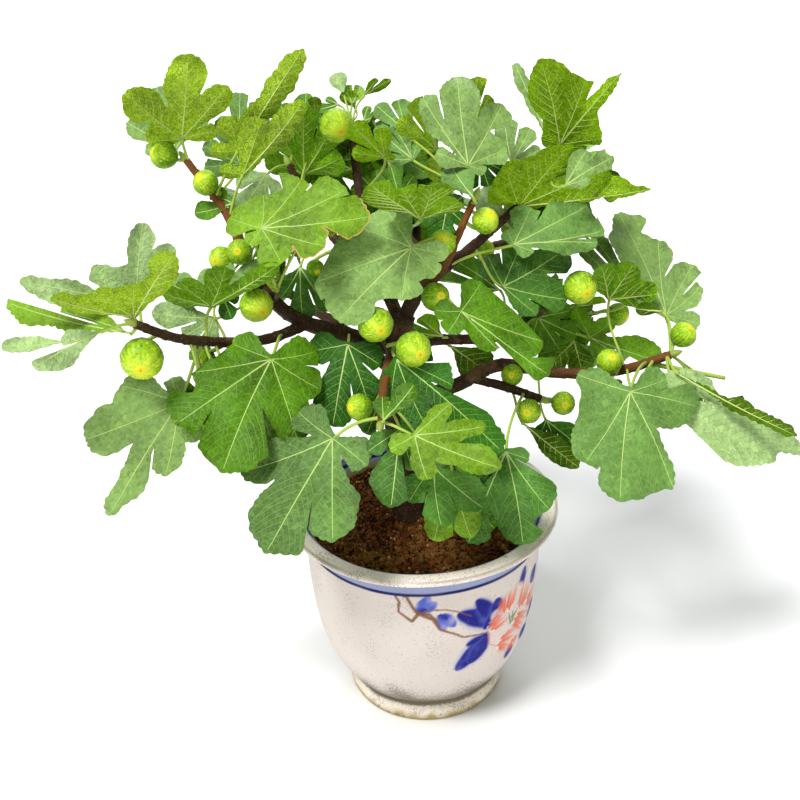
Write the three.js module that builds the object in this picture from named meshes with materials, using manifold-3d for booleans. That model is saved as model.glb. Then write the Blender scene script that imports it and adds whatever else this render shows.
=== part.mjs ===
// A young fig tree in a glazed pot: the pot with its rolled rim and foot, the soil, the short trunk,
// the boughs that spread from it, and the foliage in uneven masses.
// Millimetres, +Z up, the front towards -Y. The origin is the middle of the pot's flat underside.

import * as THREE from "three";
import { mergeVertices } from "three/addons/utils/BufferGeometryUtils.js";
import Module from "manifold-3d";

const GAP = 0.35; // clearance kept between pieces that touch

// The pot, by the height and the radius of each change in its outline. The rim's roll is an arc,
// in degrees from the outside.
const POT = {
  height: 256,
  rim: { outer: 160, inner: 141, drop: 9.5, from: -60, to: 180, step: 48 },
  neck: 140,
  waist: [
    [205, 139.5],
    [160, 137.5],
    [122, 133],
    [90, 126.5],
    [64, 117],
    [44, 105.5],
    [33, 97.5],
  ],
  groove: { height: 27, radius: 92.5 },
  foot: { bulge: 97.5, height: 15, swell: 1.5, radius: 91 },
  wall: 8,
  floor: 18,
  segments: 28,
};

const SOIL = { top: 234, crown: 60 };

// The trunk leans a little to the left and is thickest where it meets the soil.
const TRUNK = {
  route: [
    [-10, 8, SOIL.top + GAP],
    [-20, 5, 310],
    [-25, 0, 390],
    [-20, 0, 460],
    [-14, 5, 492],
  ],
  base: 17,
  tip: 12.5,
  flare: { radius: 11, height: 22, ridges: 5, depth: 0.16 },
};

// Each bough starts on the middle line of the limb that bears it and ends inside its masses.
const BOUGHS = [
  { name: "bough_left", base: 9.5, tip: 5, masses: ["mass_upper_left"],
    route: [
      [-22, 0, 455], [-70, 5, 470], [-135, 20, 490], [-175, 45, 525], [-205, 90, 585], [-250, 125, 640],
    ] },
  { name: "bough_left_low", base: 6, tip: 4.5, masses: ["mass_left_tip"],
    route: [[-118, 16, 484], [-155, -5, 477], [-205, -45, 492], [-245, -85, 517], [-275, -112, 545]] },
  { name: "bough_front", base: 6, tip: 4.5, masses: ["mass_front_low"],
    route: [[-22, 0, 462], [-30, -40, 460], [-38, -95, 450], [-41, -150, 445]] },
  { name: "bough_top", base: 8, tip: 4, masses: ["mass_top"],
    route: [[-15, 4, 480], [-36, 50, 520], [-58, 140, 590], [-66, 215, 650]] },
  { name: "bough_top_left", base: 6, tip: 4, masses: ["mass_top_left"],
    route: [[-34, 46, 517], [-75, 85, 540], [-115, 130, 580], [-138, 155, 622]] },
  { name: "bough_upright", base: 8.5, tip: 5, masses: ["mass_top_right"],
    route: [[-15, 4, 484], [0, 10, 512], [30, 15, 543], [46, 20, 572], [66, 32, 612]] },
  { name: "bough_upper_right", base: 6, tip: 4.5, masses: ["mass_right_shoulder"],
    route: [[20, 13, 532], [70, 60, 552], [120, 105, 578], [160, 130, 605]] },
  { name: "bough_right", base: 9, tip: 5, masses: ["mass_right", "mass_far_right"],
    route: [[-25, 2, 384], [45, 22, 397], [95, 40, 411], [155, 45, 397], [225, 30, 402], [285, 15, 428]] },
  { name: "bough_right_low", base: 5.5, tip: 4.5, masses: ["mass_right_under"],
    route: [[60, 28, 402], [105, 20, 391], [140, 12, 380]] },
  { name: "bough_right_back", base: 6.5, tip: 4.5, masses: ["mass_back_right_low"],
    route: [[-22, 4, 452], [20, 30, 450], [60, 60, 436], [110, 100, 420], [185, 160, 410]] },
  { name: "bough_back_right", base: 6.5, tip: 4.5, masses: ["mass_back_right"],
    route: [[-28, 36, 506], [40, 110, 515], [120, 180, 510], [190, 235, 520]] },
  { name: "bough_back", base: 7, tip: 4.5, masses: ["mass_back"],
    route: [[-22, 2, 440], [-10, 90, 455], [5, 180, 480], [10, 265, 510]] },
  { name: "bough_back_left", base: 7, tip: 4.5, masses: ["mass_back_left"],
    route: [[-24, 0, 425], [-85, 85, 445], [-150, 160, 460], [-205, 225, 480]] },
];

// Each mass has a heart and its reach from there to the left, right, front, back, down and up.
const MASSES = [
  { name: "mass_upper_left", heart: [-255, 118, 690], reach: [82, 72, 62, 68, 80, 78] },
  { name: "mass_left_inner", heart: [-165, 105, 665], reach: [60, 62, 55, 62, 90, 98] },
  { name: "mass_left_shoulder", heart: [-122, -5, 595], reach: [84, 82, 62, 64, 66, 62] },
  { name: "mass_top_left", heart: [-118, 190, 640], reach: [72, 64, 64, 72, 76, 74] },
  { name: "mass_top", heart: [-45, 235, 640], reach: [76, 72, 76, 86, 100, 84] },
  { name: "mass_top_right", heart: [55, 55, 655], reach: [76, 76, 70, 86, 84, 100] },
  { name: "mass_upper_right", heart: [185, 130, 680], reach: [80, 92, 60, 70, 68, 80] },
  { name: "mass_right_shoulder", heart: [185, 95, 590], reach: [96, 110, 70, 84, 66, 62] },
  { name: "mass_front_high", heart: [-30, -50, 580], reach: [84, 80, 78, 70, 80, 70] },
  { name: "mass_middle_right", heart: [90, -20, 505], reach: [84, 90, 70, 64, 86, 82] },
  { name: "mass_right", heart: [258, 70, 500], reach: [94, 92, 64, 80, 80, 86] },
  { name: "mass_far_right", heart: [338, 10, 390], reach: [92, 108, 60, 72, 94, 62] },
  { name: "mass_front_right", heart: [225, -50, 380], reach: [86, 80, 78, 86, 92, 86] },
  { name: "mass_left_tip", heart: [-315, -105, 565], reach: [96, 80, 66, 66, 80, 90] },
  { name: "mass_left_mid", heart: [-200, 5, 522], reach: [88, 80, 62, 68, 62, 54] },
  { name: "mass_front_left", heart: [-220, -100, 425], reach: [124, 108, 80, 90, 104, 100] },
  { name: "mass_front", heart: [-112, -145, 425], reach: [76, 78, 84, 122, 120, 114] },
  { name: "mass_front_low", heart: [10, -160, 425], reach: [78, 82, 68, 78, 78, 78] },
  { name: "mass_right_low", heart: [65, -62, 338], reach: [86, 88, 76, 76, 82, 80] },
  { name: "mass_right_under", heart: [162, 38, 342], reach: [80, 80, 72, 78, 78, 72] },
  { name: "mass_back_left", heart: [-225, 235, 485], reach: [112, 108, 92, 98, 112, 98] },
  { name: "mass_back", heart: [0, 300, 520], reach: [125, 122, 80, 86, 118, 108] },
  { name: "mass_back_right", heart: [210, 250, 535], reach: [112, 106, 92, 92, 90, 92] },
  { name: "mass_back_right_low", heart: [200, 180, 400], reach: [88, 92, 78, 88, 78, 70] },
];

const LIMB_SIDES = 7;
const TRUNK_SIDES = 16;
const LIMB_STEP = 36; // length of bough between two rings
const LUMPS = 9; // lumps on a mass
const GOLDEN_TURN = 2.4; // radians from one lump to the next
const LUMP_STRAY = 1.2; // radians by which a lump may stray
const LUMP_WIDTH = 0.3; // how far a lump spreads, as one less the cosine of its angle
const DIP = 0.2; // share of the reach that is lost between two lumps
const MASS_GAP = 1.5 * GAP; // grown along the reach, which slants to the surface

const LOOKS = {
  glaze: { color: 0xded4cc, roughness: 0.3, metalness: 0 },
  earth: { color: 0x5c3913, roughness: 1, metalness: 0 },
  bark: { color: 0x4b3a22, roughness: 0.9, metalness: 0 },
  leaf: { color: 0x5f9a32, roughness: 0.55, metalness: 0 },
};

const wasm = await Module();
wasm.setup();

// A closed geometry as a solid that can be cut.
function solidOf(geometry) {
  geometry.deleteAttribute("normal");
  geometry.deleteAttribute("uv");
  const merged = mergeVertices(geometry, 1e-4);
  return new wasm.Manifold(
    new wasm.Mesh({
      numProp: 3,
      vertProperties: merged.getAttribute("position").array,
      triVerts: new Uint32Array(merged.index.array),
    }),
  );
}

// The largest body that a cut leaves.
function largest(solid) {
  const bodies = solid.decompose();
  return bodies.reduce((best, body) => (body.volume() > best.volume() ? body : best));
}

function meshOf(name, solid, look) {
  const { vertProperties, triVerts } = solid.getMesh();
  const geometry = new THREE.BufferGeometry();
  geometry.setAttribute("position", new THREE.BufferAttribute(vertProperties, 3));
  geometry.setIndex(new THREE.BufferAttribute(triVerts, 1));
  const mesh = new THREE.Mesh(geometry, new THREE.MeshStandardMaterial(LOOKS[look]));
  mesh.name = name;
  return mesh;
}

// A turned solid about the Z axis, from [radius, height] pairs that run up the outside.
function turned(profile) {
  const points = profile.map(([radius, height]) => new THREE.Vector2(radius, height));
  const geometry = new THREE.LatheGeometry(points, POT.segments);
  geometry.rotateX(Math.PI / 2); // the lathe turns about Y
  return solidOf(geometry);
}

// The rolled rim, from the neck outside, over the top, to its inner edge.
function rimRoll() {
  const { outer, inner, drop, from, to, step } = POT.rim;
  const halfWidth = (outer - inner) / 2;
  const halfDrop = drop / 2;
  const points = [];
  for (let degrees = from; degrees <= to; degrees += step) {
    const angle = THREE.MathUtils.degToRad(degrees);
    points.push([
      inner + halfWidth + halfWidth * Math.cos(angle),
      POT.height - halfDrop + halfDrop * Math.sin(angle),
    ]);
  }
  return points;
}

// Radius of the pot's inner wall at each change of the outline, from the top down.
function innerWall() {
  return POT.waist.map(([height, radius]) => [radius - POT.wall, height]);
}

function potSolid() {
  const { foot, groove } = POT;
  const outside = [
    [0, 0],
    [foot.radius, 0],
    [foot.bulge - foot.swell, foot.height / 2],
    [foot.bulge, foot.height],
    [groove.radius, groove.height],
    ...[...POT.waist].reverse().map(([height, radius]) => [radius, height]),
    [POT.neck, POT.height - POT.rim.drop],
  ];
  const inside = [...innerWall(), [groove.radius - POT.wall, POT.floor], [0, POT.floor]];
  return turned([...outside, ...rimRoll(), ...inside]);
}

// The soil fills the pot up to its crown, a little below the rim.
function soilSolid() {
  const wall = innerWall()
    .map(([radius, height]) => [radius - GAP, height])
    .reverse();
  const below = [[0, POT.floor + GAP], [POT.groove.radius - POT.wall - GAP, POT.floor + GAP]];
  const [neckRadius, neckHeight] = wall[wall.length - 1];
  const brimHeight = POT.height - POT.rim.drop / 2;
  const share = (SOIL.top - 1 - neckHeight) / (brimHeight - neckHeight);
  const edge = THREE.MathUtils.lerp(neckRadius, POT.rim.inner - GAP, share);
  return turned([...below, ...wall, [edge, SOIL.top - 1], [SOIL.crown, SOIL.top], [0, SOIL.top]]);
}

// A closed limb: rings across a smooth curve, with a point in the middle of each end.
function limbSolid({ route, base, tip, flare, sides = LIMB_SIDES, level = false }, grow = 0) {
  const curve = new THREE.CatmullRomCurve3(route.map((point) => new THREE.Vector3(...point)));
  const steps = Math.ceil(curve.getLength() / LIMB_STEP);
  const frames = curve.computeFrenetFrames(steps, false);
  const positions = [];
  const indices = [];
  for (let step = 0; step <= steps; step++) {
    const centre = curve.getPointAt(step / steps);
    const across = level ? new THREE.Vector3(1, 0, 0) : frames.normals[step];
    const along = level ? new THREE.Vector3(0, 1, 0) : frames.binormals[step];
    const height = centre.z - route[0][2];
    const taper = THREE.MathUtils.lerp(base, tip, step / steps);
    for (let side = 0; side < sides; side++) {
      const angle = (2 * Math.PI * side) / sides;
      const radius = grow + taper + (flare ? rootFlare(flare, height, angle) : 0);
      const point = centre
        .clone()
        .addScaledVector(across, radius * Math.cos(angle))
        .addScaledVector(along, radius * Math.sin(angle));
      positions.push(...point.toArray());
    }
  }
  positions.push(...curve.getPointAt(0).toArray(), ...curve.getPointAt(1).toArray());
  const rings = (steps + 1) * sides;
  for (let side = 0; side < sides; side++) {
    const next = (side + 1) % sides;
    for (let step = 0; step < steps; step++) {
      const low = step * sides;
      const high = low + sides;
      indices.push(low + side, low + next, high + next, low + side, high + next, high + side);
    }
    indices.push(rings, next, side);
    indices.push(rings + 1, steps * sides + side, steps * sides + next);
  }
  const geometry = new THREE.BufferGeometry();
  geometry.setAttribute("position", new THREE.Float32BufferAttribute(positions, 3));
  geometry.setIndex(indices);
  return solidOf(geometry);
}

// Extra radius where the trunk spreads into the soil, in a few low ridges.
function rootFlare({ radius, height, ridges, depth }, above, angle) {
  const fade = Math.exp(-above / height);
  return radius * fade * (1 + depth * Math.cos(ridges * angle));
}

// A small seeded generator, so that every mass keeps its own shape.
function seeded(seed) {
  let state = seed;
  return () => {
    state = (state * 1664525 + 1013904223) % 4294967296;
    return state / 4294967296;
  };
}

// An uneven closed mass: a ball stretched to its six reaches, full at its lumps and dipped between.
function massSolid({ heart, reach }, seed, grow = 0) {
  const random = seeded(seed * 7919 + 17);
  const lumps = Array.from({ length: LUMPS }, (_, i) => {
    const height = 1 - (2 * (i + 0.5)) / LUMPS;
    const turn = i * GOLDEN_TURN + random() * LUMP_STRAY;
    const ring = Math.sqrt(1 - height * height);
    return new THREE.Vector3(ring * Math.cos(turn), ring * Math.sin(turn), height);
  });
  const [left, right, front, back, down, up] = reach;
  const geometry = new THREE.IcosahedronGeometry(1, 2);
  const vertices = geometry.getAttribute("position");
  const unit = new THREE.Vector3();
  for (let i = 0; i < vertices.count; i++) {
    unit.fromBufferAttribute(vertices, i).normalize();
    const nearest = Math.max(...lumps.map((lump) => lump.dot(unit)));
    const fullness = 1 - DIP * Math.min(1, (1 - nearest) / LUMP_WIDTH);
    const stretched = new THREE.Vector3(
      unit.x * (unit.x < 0 ? left : right),
      unit.y * (unit.y < 0 ? front : back),
      unit.z * (unit.z < 0 ? down : up),
    ).multiplyScalar(fullness);
    stretched.setLength(stretched.length() + grow).add(new THREE.Vector3(...heart));
    vertices.setXYZ(i, ...stretched.toArray());
  }
  return solidOf(geometry);
}

const tree = new THREE.Group();
tree.add(meshOf("pot", potSolid(), "glaze"));
tree.add(meshOf("soil", soilSolid(), "earth"));

// Each limb is cut back by the limbs made before it, and then by the masses that it ends in.
const trunkShape = { ...TRUNK, sides: TRUNK_SIDES, level: true };
const limbs = [{ name: "trunk", masses: [], shape: trunkShape }];
for (const { name, masses, ...shape } of BOUGHS) limbs.push({ name, masses, shape });
const massNumber = new Map(MASSES.map(({ name }, index) => [name, index]));
const limbsGrown = limbs.map(({ shape }) => limbSolid(shape, GAP));
const massesGrown = MASSES.map((mass, index) => massSolid(mass, index, MASS_GAP));

limbs.forEach((limb, index) => {
  let solid = limbSolid(limb.shape);
  for (const earlier of limbsGrown.slice(0, index)) solid = solid.subtract(earlier);
  for (const name of limb.masses) solid = solid.subtract(massesGrown[massNumber.get(name)]);
  tree.add(meshOf(limb.name, largest(solid), "bark"));
});

// Each mass is cut round the limbs that pass it and round the masses made before it.
MASSES.forEach((mass, index) => {
  let solid = massSolid(mass, index);
  limbs.forEach(({ masses }, limb) => {
    if (!masses.includes(mass.name)) solid = solid.subtract(limbsGrown[limb]);
  });
  for (const earlier of massesGrown.slice(0, index)) solid = solid.subtract(earlier);
  tree.add(meshOf(mass.name, largest(solid), "leaf"));
});

export default tree;
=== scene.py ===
"""A young fig tree in a painted, glazed pot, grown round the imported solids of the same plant.

Lengths inside the functions are millimetres, and the meshes are made in metres. +Z is up and -Y is
the front of the plant. The solids give the pot, the limbs and the room that each part of the crown
takes; leaves, stalks, twigs and figs grow on from the limbs.
"""

import math
from functools import lru_cache
from itertools import combinations

import bpy
import numpy as np
from bpy.props import FloatProperty, FloatVectorProperty, IntProperty, PointerProperty
from mathutils import Matrix, Vector
from mathutils.bvhtree import BVHTree
from mathutils.geometry import delaunay_2d_cdt


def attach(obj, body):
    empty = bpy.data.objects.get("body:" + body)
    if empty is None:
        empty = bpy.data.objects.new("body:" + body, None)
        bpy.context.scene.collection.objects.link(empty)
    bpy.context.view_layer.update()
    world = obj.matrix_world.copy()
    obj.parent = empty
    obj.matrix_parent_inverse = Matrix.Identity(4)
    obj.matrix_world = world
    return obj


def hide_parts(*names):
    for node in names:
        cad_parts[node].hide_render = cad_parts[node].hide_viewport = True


bl_info = {
    "name": "Fig Tree in a Pot",
    "version": (1, 0, 0),
    "blender": (4, 5, 0),
    "location": "View3D > Sidebar > Fig Tree",
    "description": "Grows a young fig tree with its fruit in a painted, glazed pot",
    "category": "Add Mesh",
}

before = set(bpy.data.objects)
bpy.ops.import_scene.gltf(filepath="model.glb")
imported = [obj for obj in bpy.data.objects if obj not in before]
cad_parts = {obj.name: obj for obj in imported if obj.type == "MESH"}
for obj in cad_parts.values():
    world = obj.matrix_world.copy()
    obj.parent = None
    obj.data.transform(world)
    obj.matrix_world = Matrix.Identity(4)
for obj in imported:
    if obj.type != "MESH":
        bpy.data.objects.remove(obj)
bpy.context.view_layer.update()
MM = 0.001

# ---------------------------------------------------------------- sizes and colours

SIZES = {  # in millimetres, with what each one is
    "pot_height": (256.0, "Height of the pot"),
    "rim_radius": (160.0, "Outer radius of the rolled rim"),
    "mouth_radius": (141.0, "Inner radius of the rolled rim"),
    "rim_thickness": (7.4, "Height of the rolled rim"),
    "wall": (8.0, "Thickness of the pot's wall"),
    "soil_level": (234.0, "Height of the soil"),
    "blade_thickness": (0.5, "Thickness of a leaf"),
}
COLOURS = {
    "bark": ((0.040, 0.019, 0.007), "Old bark of the trunk and boughs"),
    "worn_bark": ((0.150, 0.080, 0.036), "Paler patches of old bark"),
    "green_bark": ((0.075, 0.070, 0.018), "Green film on old bark"),
    "young_bark": ((0.165, 0.060, 0.012), "Reddish bark at the young ends"),
    "twig": ((0.060, 0.050, 0.014), "Twigs"),
    "worn_twig": ((0.16, 0.13, 0.05), "Paler patches of the twigs"),
    "green_twig": ((0.12, 0.14, 0.03), "Green patches of the twigs"),
    "leaf_stalk": ((0.36, 0.50, 0.07), "Stalks of leaves and figs"),
    "bud": ((0.28, 0.36, 0.06), "Buds"),
    "vein_upper": ((0.47, 0.62, 0.19), "Main veins on the upper side of the leaves"),
    "vein_side": ((0.20, 0.37, 0.075), "Side veins"),
    "vein_under": ((0.60, 0.72, 0.24), "Veins on the underside of the leaves"),
    "brown_edge": ((0.50, 0.33, 0.08), "Dry edge of a leaf"),
    "fig_eye": ((0.76, 0.70, 0.030), "Eye of a fig"),
    "fig_heart": ((0.50, 0.34, 0.03), "Heart of a fig's eye"),
    "cobalt": ((0.002, 0.004, 0.215), "Dark blue paint"),
    "pale_blue": ((0.080, 0.120, 0.520), "Thin blue paint"),
    "brown_paint": ((0.200, 0.080, 0.026), "Paint of the painted twig"),
    "coral": ((0.74, 0.085, 0.014), "Paint of the petals"),
    "pale_coral": ((0.80, 0.30, 0.17), "Thin paint of the petals"),
    "white_paint": ((0.76, 0.64, 0.59), "White of the petals"),
    "green_paint": ((0.08, 0.24, 0.07), "Paint of the flower's heart"),
    "glaze": ((0.675, 0.605, 0.550), "Glaze of the body"),
    "band_glaze": ((0.26, 0.31, 0.52), "Band under the rim"),
    "line_blue": ((0.006, 0.009, 0.110), "Lines of the band"),
    "foot_glaze": ((0.84, 0.76, 0.60), "Glaze of the foot"),
    "inner_glaze": ((0.36, 0.29, 0.14), "Inner wall"),
    # The rim's glaze is set much lighter than the body's: its own cream with painted light against
    # the crown's shade.
    "rim_glaze": ((0.95, 0.86, 0.76), "Glaze of the rim"),
    "rim_edge": ((0.34, 0.26, 0.17), "Worn edge of the rim"),
    "dirt": ((0.060, 0.050, 0.030), "Dirt on the glaze"),
    "moss": ((0.340, 0.245, 0.026), "Moss on the foot"),
    "loam": ((0.110, 0.038, 0.009), "Damp loam"),
    "black_loam": ((0.026, 0.009, 0.004), "Black loam"),
    "clay": ((0.240, 0.058, 0.014), "Red clay"),
    "grit": ((0.48, 0.29, 0.11), "Pale grit"),
    "sandy_loam": ((0.230, 0.105, 0.024), "Sandy loam"),
}
TINTS = ("deep", "leaf", "fresh", "grey", "teal", "young", "pale", "mist")
# Upper tints: deep is painted shade for leaves in the crown's shade; grey, pale and mist are
# painted with the sheen of the sky.
UPPER_TINTS = [
    (0.026, 0.130, 0.001), (0.080, 0.210, 0.003), (0.150, 0.330, 0.006), (0.183, 0.308, 0.076),
    (0.060, 0.172, 0.018), (0.163, 0.318, 0.010), (0.300, 0.440, 0.165), (0.115, 0.232, 0.045),
]
# Underside tints: deep is painted shade, and the others are painted brighter than the blade's own
# colour with the light that comes through it.
UNDER_TINTS = [
    (0.078, 0.165, 0.001), (0.228, 0.420, 0.002), (0.300, 0.476, 0.017), (0.240, 0.420, 0.025),
    (0.135, 0.310, 0.001), (0.195, 0.385, 0.001), (0.310, 0.480, 0.050), (0.160, 0.330, 0.010),
]
FIG_TONES = [
    (0.100, 0.250, 0.004), (0.180, 0.360, 0.008), (0.270, 0.460, 0.012), (0.370, 0.570, 0.022),
    (0.480, 0.680, 0.038), (0.600, 0.760, 0.050), (0.690, 0.760, 0.030),
]
for key, upper, lower in zip(TINTS, UPPER_TINTS, UNDER_TINTS):
    COLOURS["upper_" + key] = (upper, f"Upper side of the {key} leaves")
    COLOURS["under_" + key] = (lower, f"Underside of the {key} leaves")
for step, tone in enumerate(FIG_TONES):
    COLOURS[f"fig_skin_{step}"] = (tone, f"Skin of the figs, step {step} from the stalk to the eye")


def title(key):
    return key.replace("_", " ").capitalize()


class FIGTREE_PG_sizes(bpy.types.PropertyGroup):
    """Sizes and numbers that a user may change."""

    __annotations__ = {
        key: FloatProperty(name=title(key), description=text, default=length * MM, min=0.0,
                           unit="LENGTH", precision=4)
        for key, (length, text) in SIZES.items()
    }
    __annotations__["front_fill"] = IntProperty(
        name="Leaves behind", default=7, min=0, max=20,
        description="Leaves that fill each part of the crown seen from the front")
    __annotations__["back_fill"] = IntProperty(
        name="Leaves at the back", default=16, min=0, max=40,
        description="Leaves that fill each part of the crown at the back")


class FIGTREE_PG_colours(bpy.types.PropertyGroup):
    """Colours that a user may change."""

    __annotations__ = {
        key: FloatVectorProperty(name=title(key), description=text, default=colour,
                                 min=0.0, max=1.0, size=3, subtype="COLOR")
        for key, (colour, text) in COLOURS.items()
    }


def length_of(key):
    """A size as it is set in the panel, in millimetres."""
    return round(getattr(bpy.context.scene.figtree_sizes, key) / MM, 3)


def hue(key):
    """A colour as it is set in the panel."""
    return np.array(getattr(bpy.context.scene.figtree_colours, key))


# ---------------------------------------------------------------- the view

VIEW_PLACE = np.array([-20.8, -1097.6, 967.2])
VIEW_PITCH = math.radians(27.667)  # below the horizon
VIEW_ROLL = math.radians(-2.216)
VIEW_FOCAL = 1100.0  # pixels
VIEW_FRAME = 800.0  # pixels a side
SENSOR = 36.0  # millimetres wide


class View:
    """Where the pixels of the main view lie in the plant's own frame."""

    def __init__(self):
        level_up = np.array([0, math.sin(VIEW_PITCH), math.cos(VIEW_PITCH)])
        level_right = np.array([1.0, 0, 0])
        self.ahead = np.array([0, math.cos(VIEW_PITCH), -math.sin(VIEW_PITCH)])
        self.right = math.cos(VIEW_ROLL) * level_right + math.sin(VIEW_ROLL) * level_up
        self.up = math.cos(VIEW_ROLL) * level_up - math.sin(VIEW_ROLL) * level_right

    def ray(self, px, py):
        half = VIEW_FRAME / 2
        way = self.ahead * VIEW_FOCAL + self.right * (px - half) - self.up * (py - half)
        return way / np.linalg.norm(way)

    def at_depth(self, px, py, depth):
        """The point seen at a pixel that lies at Y = depth."""
        way = self.ray(px, py)
        return VIEW_PLACE + way * (depth - VIEW_PLACE[1]) / way[1]

    def on_plane(self, px, py, origin, normal):
        way = self.ray(px, py)
        return VIEW_PLACE + way * np.dot(origin - VIEW_PLACE, normal) / np.dot(way, normal)

    def pixels(self, points):
        away = np.asarray(points, float) - VIEW_PLACE
        far = away @ self.ahead
        across = VIEW_FRAME / 2 + VIEW_FOCAL * (away @ self.right) / far
        down = VIEW_FRAME / 2 - VIEW_FOCAL * (away @ self.up) / far
        return np.stack([across, down], -1)

    def scale(self, point):
        """Pixels to a millimetre at a point."""
        return VIEW_FOCAL / np.dot(np.asarray(point) - VIEW_PLACE, self.ahead)


view = View()

# ---------------------------------------------------------------- small tools


def unit(vector):
    vector = np.asarray(vector, float)
    return vector / max(np.linalg.norm(vector), 1e-9)


def ripple(points, wavelength, seed, waves=7):
    """Smooth uneven values, about -1 to 1, at points of any dimension."""
    random = np.random.default_rng(seed)
    points = np.asarray(points, float)
    total = np.zeros(points.shape[:-1])
    for _ in range(waves):
        way = unit(random.normal(size=points.shape[-1]))
        length = wavelength * random.uniform(0.7, 1.6)
        total += np.sin(points @ way * 2 * math.pi / length + random.uniform(0, 2 * math.pi))
    return total / math.sqrt(waves)


def smooth_route(knots, step):
    """Points about a step apart on a centripetal Catmull-Rom curve through the knots."""
    knots = np.asarray(knots, float)
    ends = [2 * knots[0] - knots[1], *knots, 2 * knots[-1] - knots[-2]]
    fine = []
    for a, b, c, d in zip(ends, ends[1:], ends[2:], ends[3:]):
        gaps = [max(np.linalg.norm(q - p) ** 0.5, 1e-4) for p, q in ((a, b), (b, c), (c, d))]
        start = ((b - a) / gaps[0] - (c - a) / (gaps[0] + gaps[1]) + (c - b) / gaps[1]) * gaps[1]
        finish = ((c - b) / gaps[1] - (d - b) / (gaps[1] + gaps[2]) + (d - c) / gaps[2]) * gaps[1]
        t = np.linspace(0, 1, 40, endpoint=False)[:, None]
        bend = (2 * b - 2 * c + start + finish) * t**3
        fine.append(bend + (3 * c - 3 * b - 2 * start - finish) * t**2 + start * t + b)
    fine = np.vstack([*fine, knots[-1:]])
    along = run_along(fine)
    marks = np.linspace(0, along[-1], max(2, int(round(along[-1] / step)) + 1))
    return np.stack([np.interp(marks, along, fine[:, k]) for k in range(3)], -1)


def run_along(line):
    """How far along a line each of its points lies."""
    return np.concatenate([[0], np.cumsum(np.linalg.norm(np.diff(line, axis=0), axis=1))])


def ring_normals(ring):
    """At each point of a flat closed ring the way square to it, outwards or inwards by its turn."""
    away = np.roll(ring, -1, 0) - np.roll(ring, 1, 0)
    normal = np.stack([-away[:, 1], away[:, 0]], -1)
    return normal / np.maximum(np.linalg.norm(normal, axis=1), 1e-6)[:, None]


def wall_quads(rings, sides, seam=0):
    """Quads between rings of points. With a seam each ring has one more point than sides."""
    ring, side = np.meshgrid(np.arange(rings - 1), np.arange(sides), indexing="ij")
    low, high = ring * (sides + seam) + side, (ring + 1) * (sides + seam) + side
    step = 1 if seam else (side + 1) % sides - side
    return np.stack([low, low + step, high + step, high], -1).reshape(-1, 4)


def halved(quads):
    """Two triangles for each quad: all the first halves, then all the second ones."""
    return np.concatenate([quads[:, [0, 1, 2]], quads[:, [0, 2, 3]]])


def fan(hub, one, two):
    """Triangles from a hub to each pair of corners."""
    return np.stack([np.full(len(one), hub), one, two], -1)


def even_turns(sides):
    """The turns of the corners of a ring."""
    return np.arange(sides) * 2 * math.pi / sides


def cross_frames(route):
    """For each point of a route its tangent and two steady cross directions."""
    tangents = np.gradient(route, axis=0)
    tangents /= np.linalg.norm(tangents, axis=1)[:, None]
    side = unit(np.cross(tangents[0], [0.3, 1, 0.2]))
    sides = []
    for tangent in tangents:
        side = unit(side - tangent * np.dot(side, tangent))
        sides.append(side)
    sides = np.array(sides)
    return tangents, sides, np.cross(tangents, sides)


class Shape:
    """Gathers closed bodies into the one mesh of a piece."""

    def __init__(self):
        self.points, self.faces, self.looks, self.maps = [], [], [], []
        self.rims = []
        self.count = 0

    def add(self, points, faces, look=0, uv=None, rim=None):
        """Points in millimetres, triangles or quads, a look for each face or one for all, and a
        place on the piece's map for each point. rim tells (ring, place, length) of rim points."""
        points = np.asarray(points, float)
        faces = np.asarray(faces, int)
        if faces.shape[1] == 4:
            look = np.repeat(look, 2) if np.ndim(look) else look
            faces = faces[:, [0, 1, 2, 0, 2, 3]].reshape(-1, 3)
        self.points.append(points)
        self.faces.append(faces + self.count)
        self.looks.append(np.broadcast_to(look, len(faces)).astype(np.int32))
        self.maps.append(np.zeros((len(points), 2)) if uv is None else np.asarray(uv, float))
        self.rims.append(np.full((len(points), 3), -1) if rim is None else rim)
        self.count += len(points)

    def build(self, name, materials, smooth=True, piece_map=False):
        mesh = bpy.data.meshes.new(name)
        points = np.vstack(self.points) * MM
        faces = np.vstack(self.faces)
        mesh.vertices.add(len(points))
        mesh.vertices.foreach_set("co", points.astype(np.float32).ravel())
        mesh.loops.add(faces.size)
        mesh.loops.foreach_set("vertex_index", faces.astype(np.int32).ravel())
        mesh.polygons.add(len(faces))
        mesh.polygons.foreach_set("loop_start", np.arange(0, faces.size, 3, dtype=np.int32))
        mesh.polygons.foreach_set("material_index", np.concatenate(self.looks))
        mesh.update(calc_edges=True)
        mesh.polygons.foreach_set("use_smooth", np.full(len(faces), smooth))
        if piece_map:
            layer = mesh.uv_layers.new(name="OFBake", do_init=False)
            places = np.vstack(self.maps)[faces.ravel()]
            layer.uv.foreach_set("vector", places.astype(np.float32).ravel())
        rims = np.vstack(self.rims)
        if rims.max() >= 0:
            self.mark_rims(mesh, rims)
        for material in materials:
            mesh.materials.append(material)
        mesh.validate()
        piece = bpy.data.objects.new(name, mesh)
        bpy.context.scene.collection.objects.link(piece)
        return piece

    @staticmethod
    def mark_rims(mesh, rims):
        """Sharp edges between neighbours on the same rim."""
        pairs = np.empty(len(mesh.edges) * 2, np.int32)
        mesh.edges.foreach_get("vertices", pairs)
        one, two = rims[pairs[::2]], rims[pairs[1::2]]
        apart = np.abs(one[:, 1] - two[:, 1])
        next_to = (apart == 1) | (apart == one[:, 2] - 1)
        sharp = (one[:, 0] >= 0) & (one[:, 0] == two[:, 0]) & next_to
        layer = mesh.attributes.new("sharp_edge", "BOOLEAN", "EDGE")
        layer.data.foreach_set("value", sharp)


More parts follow.
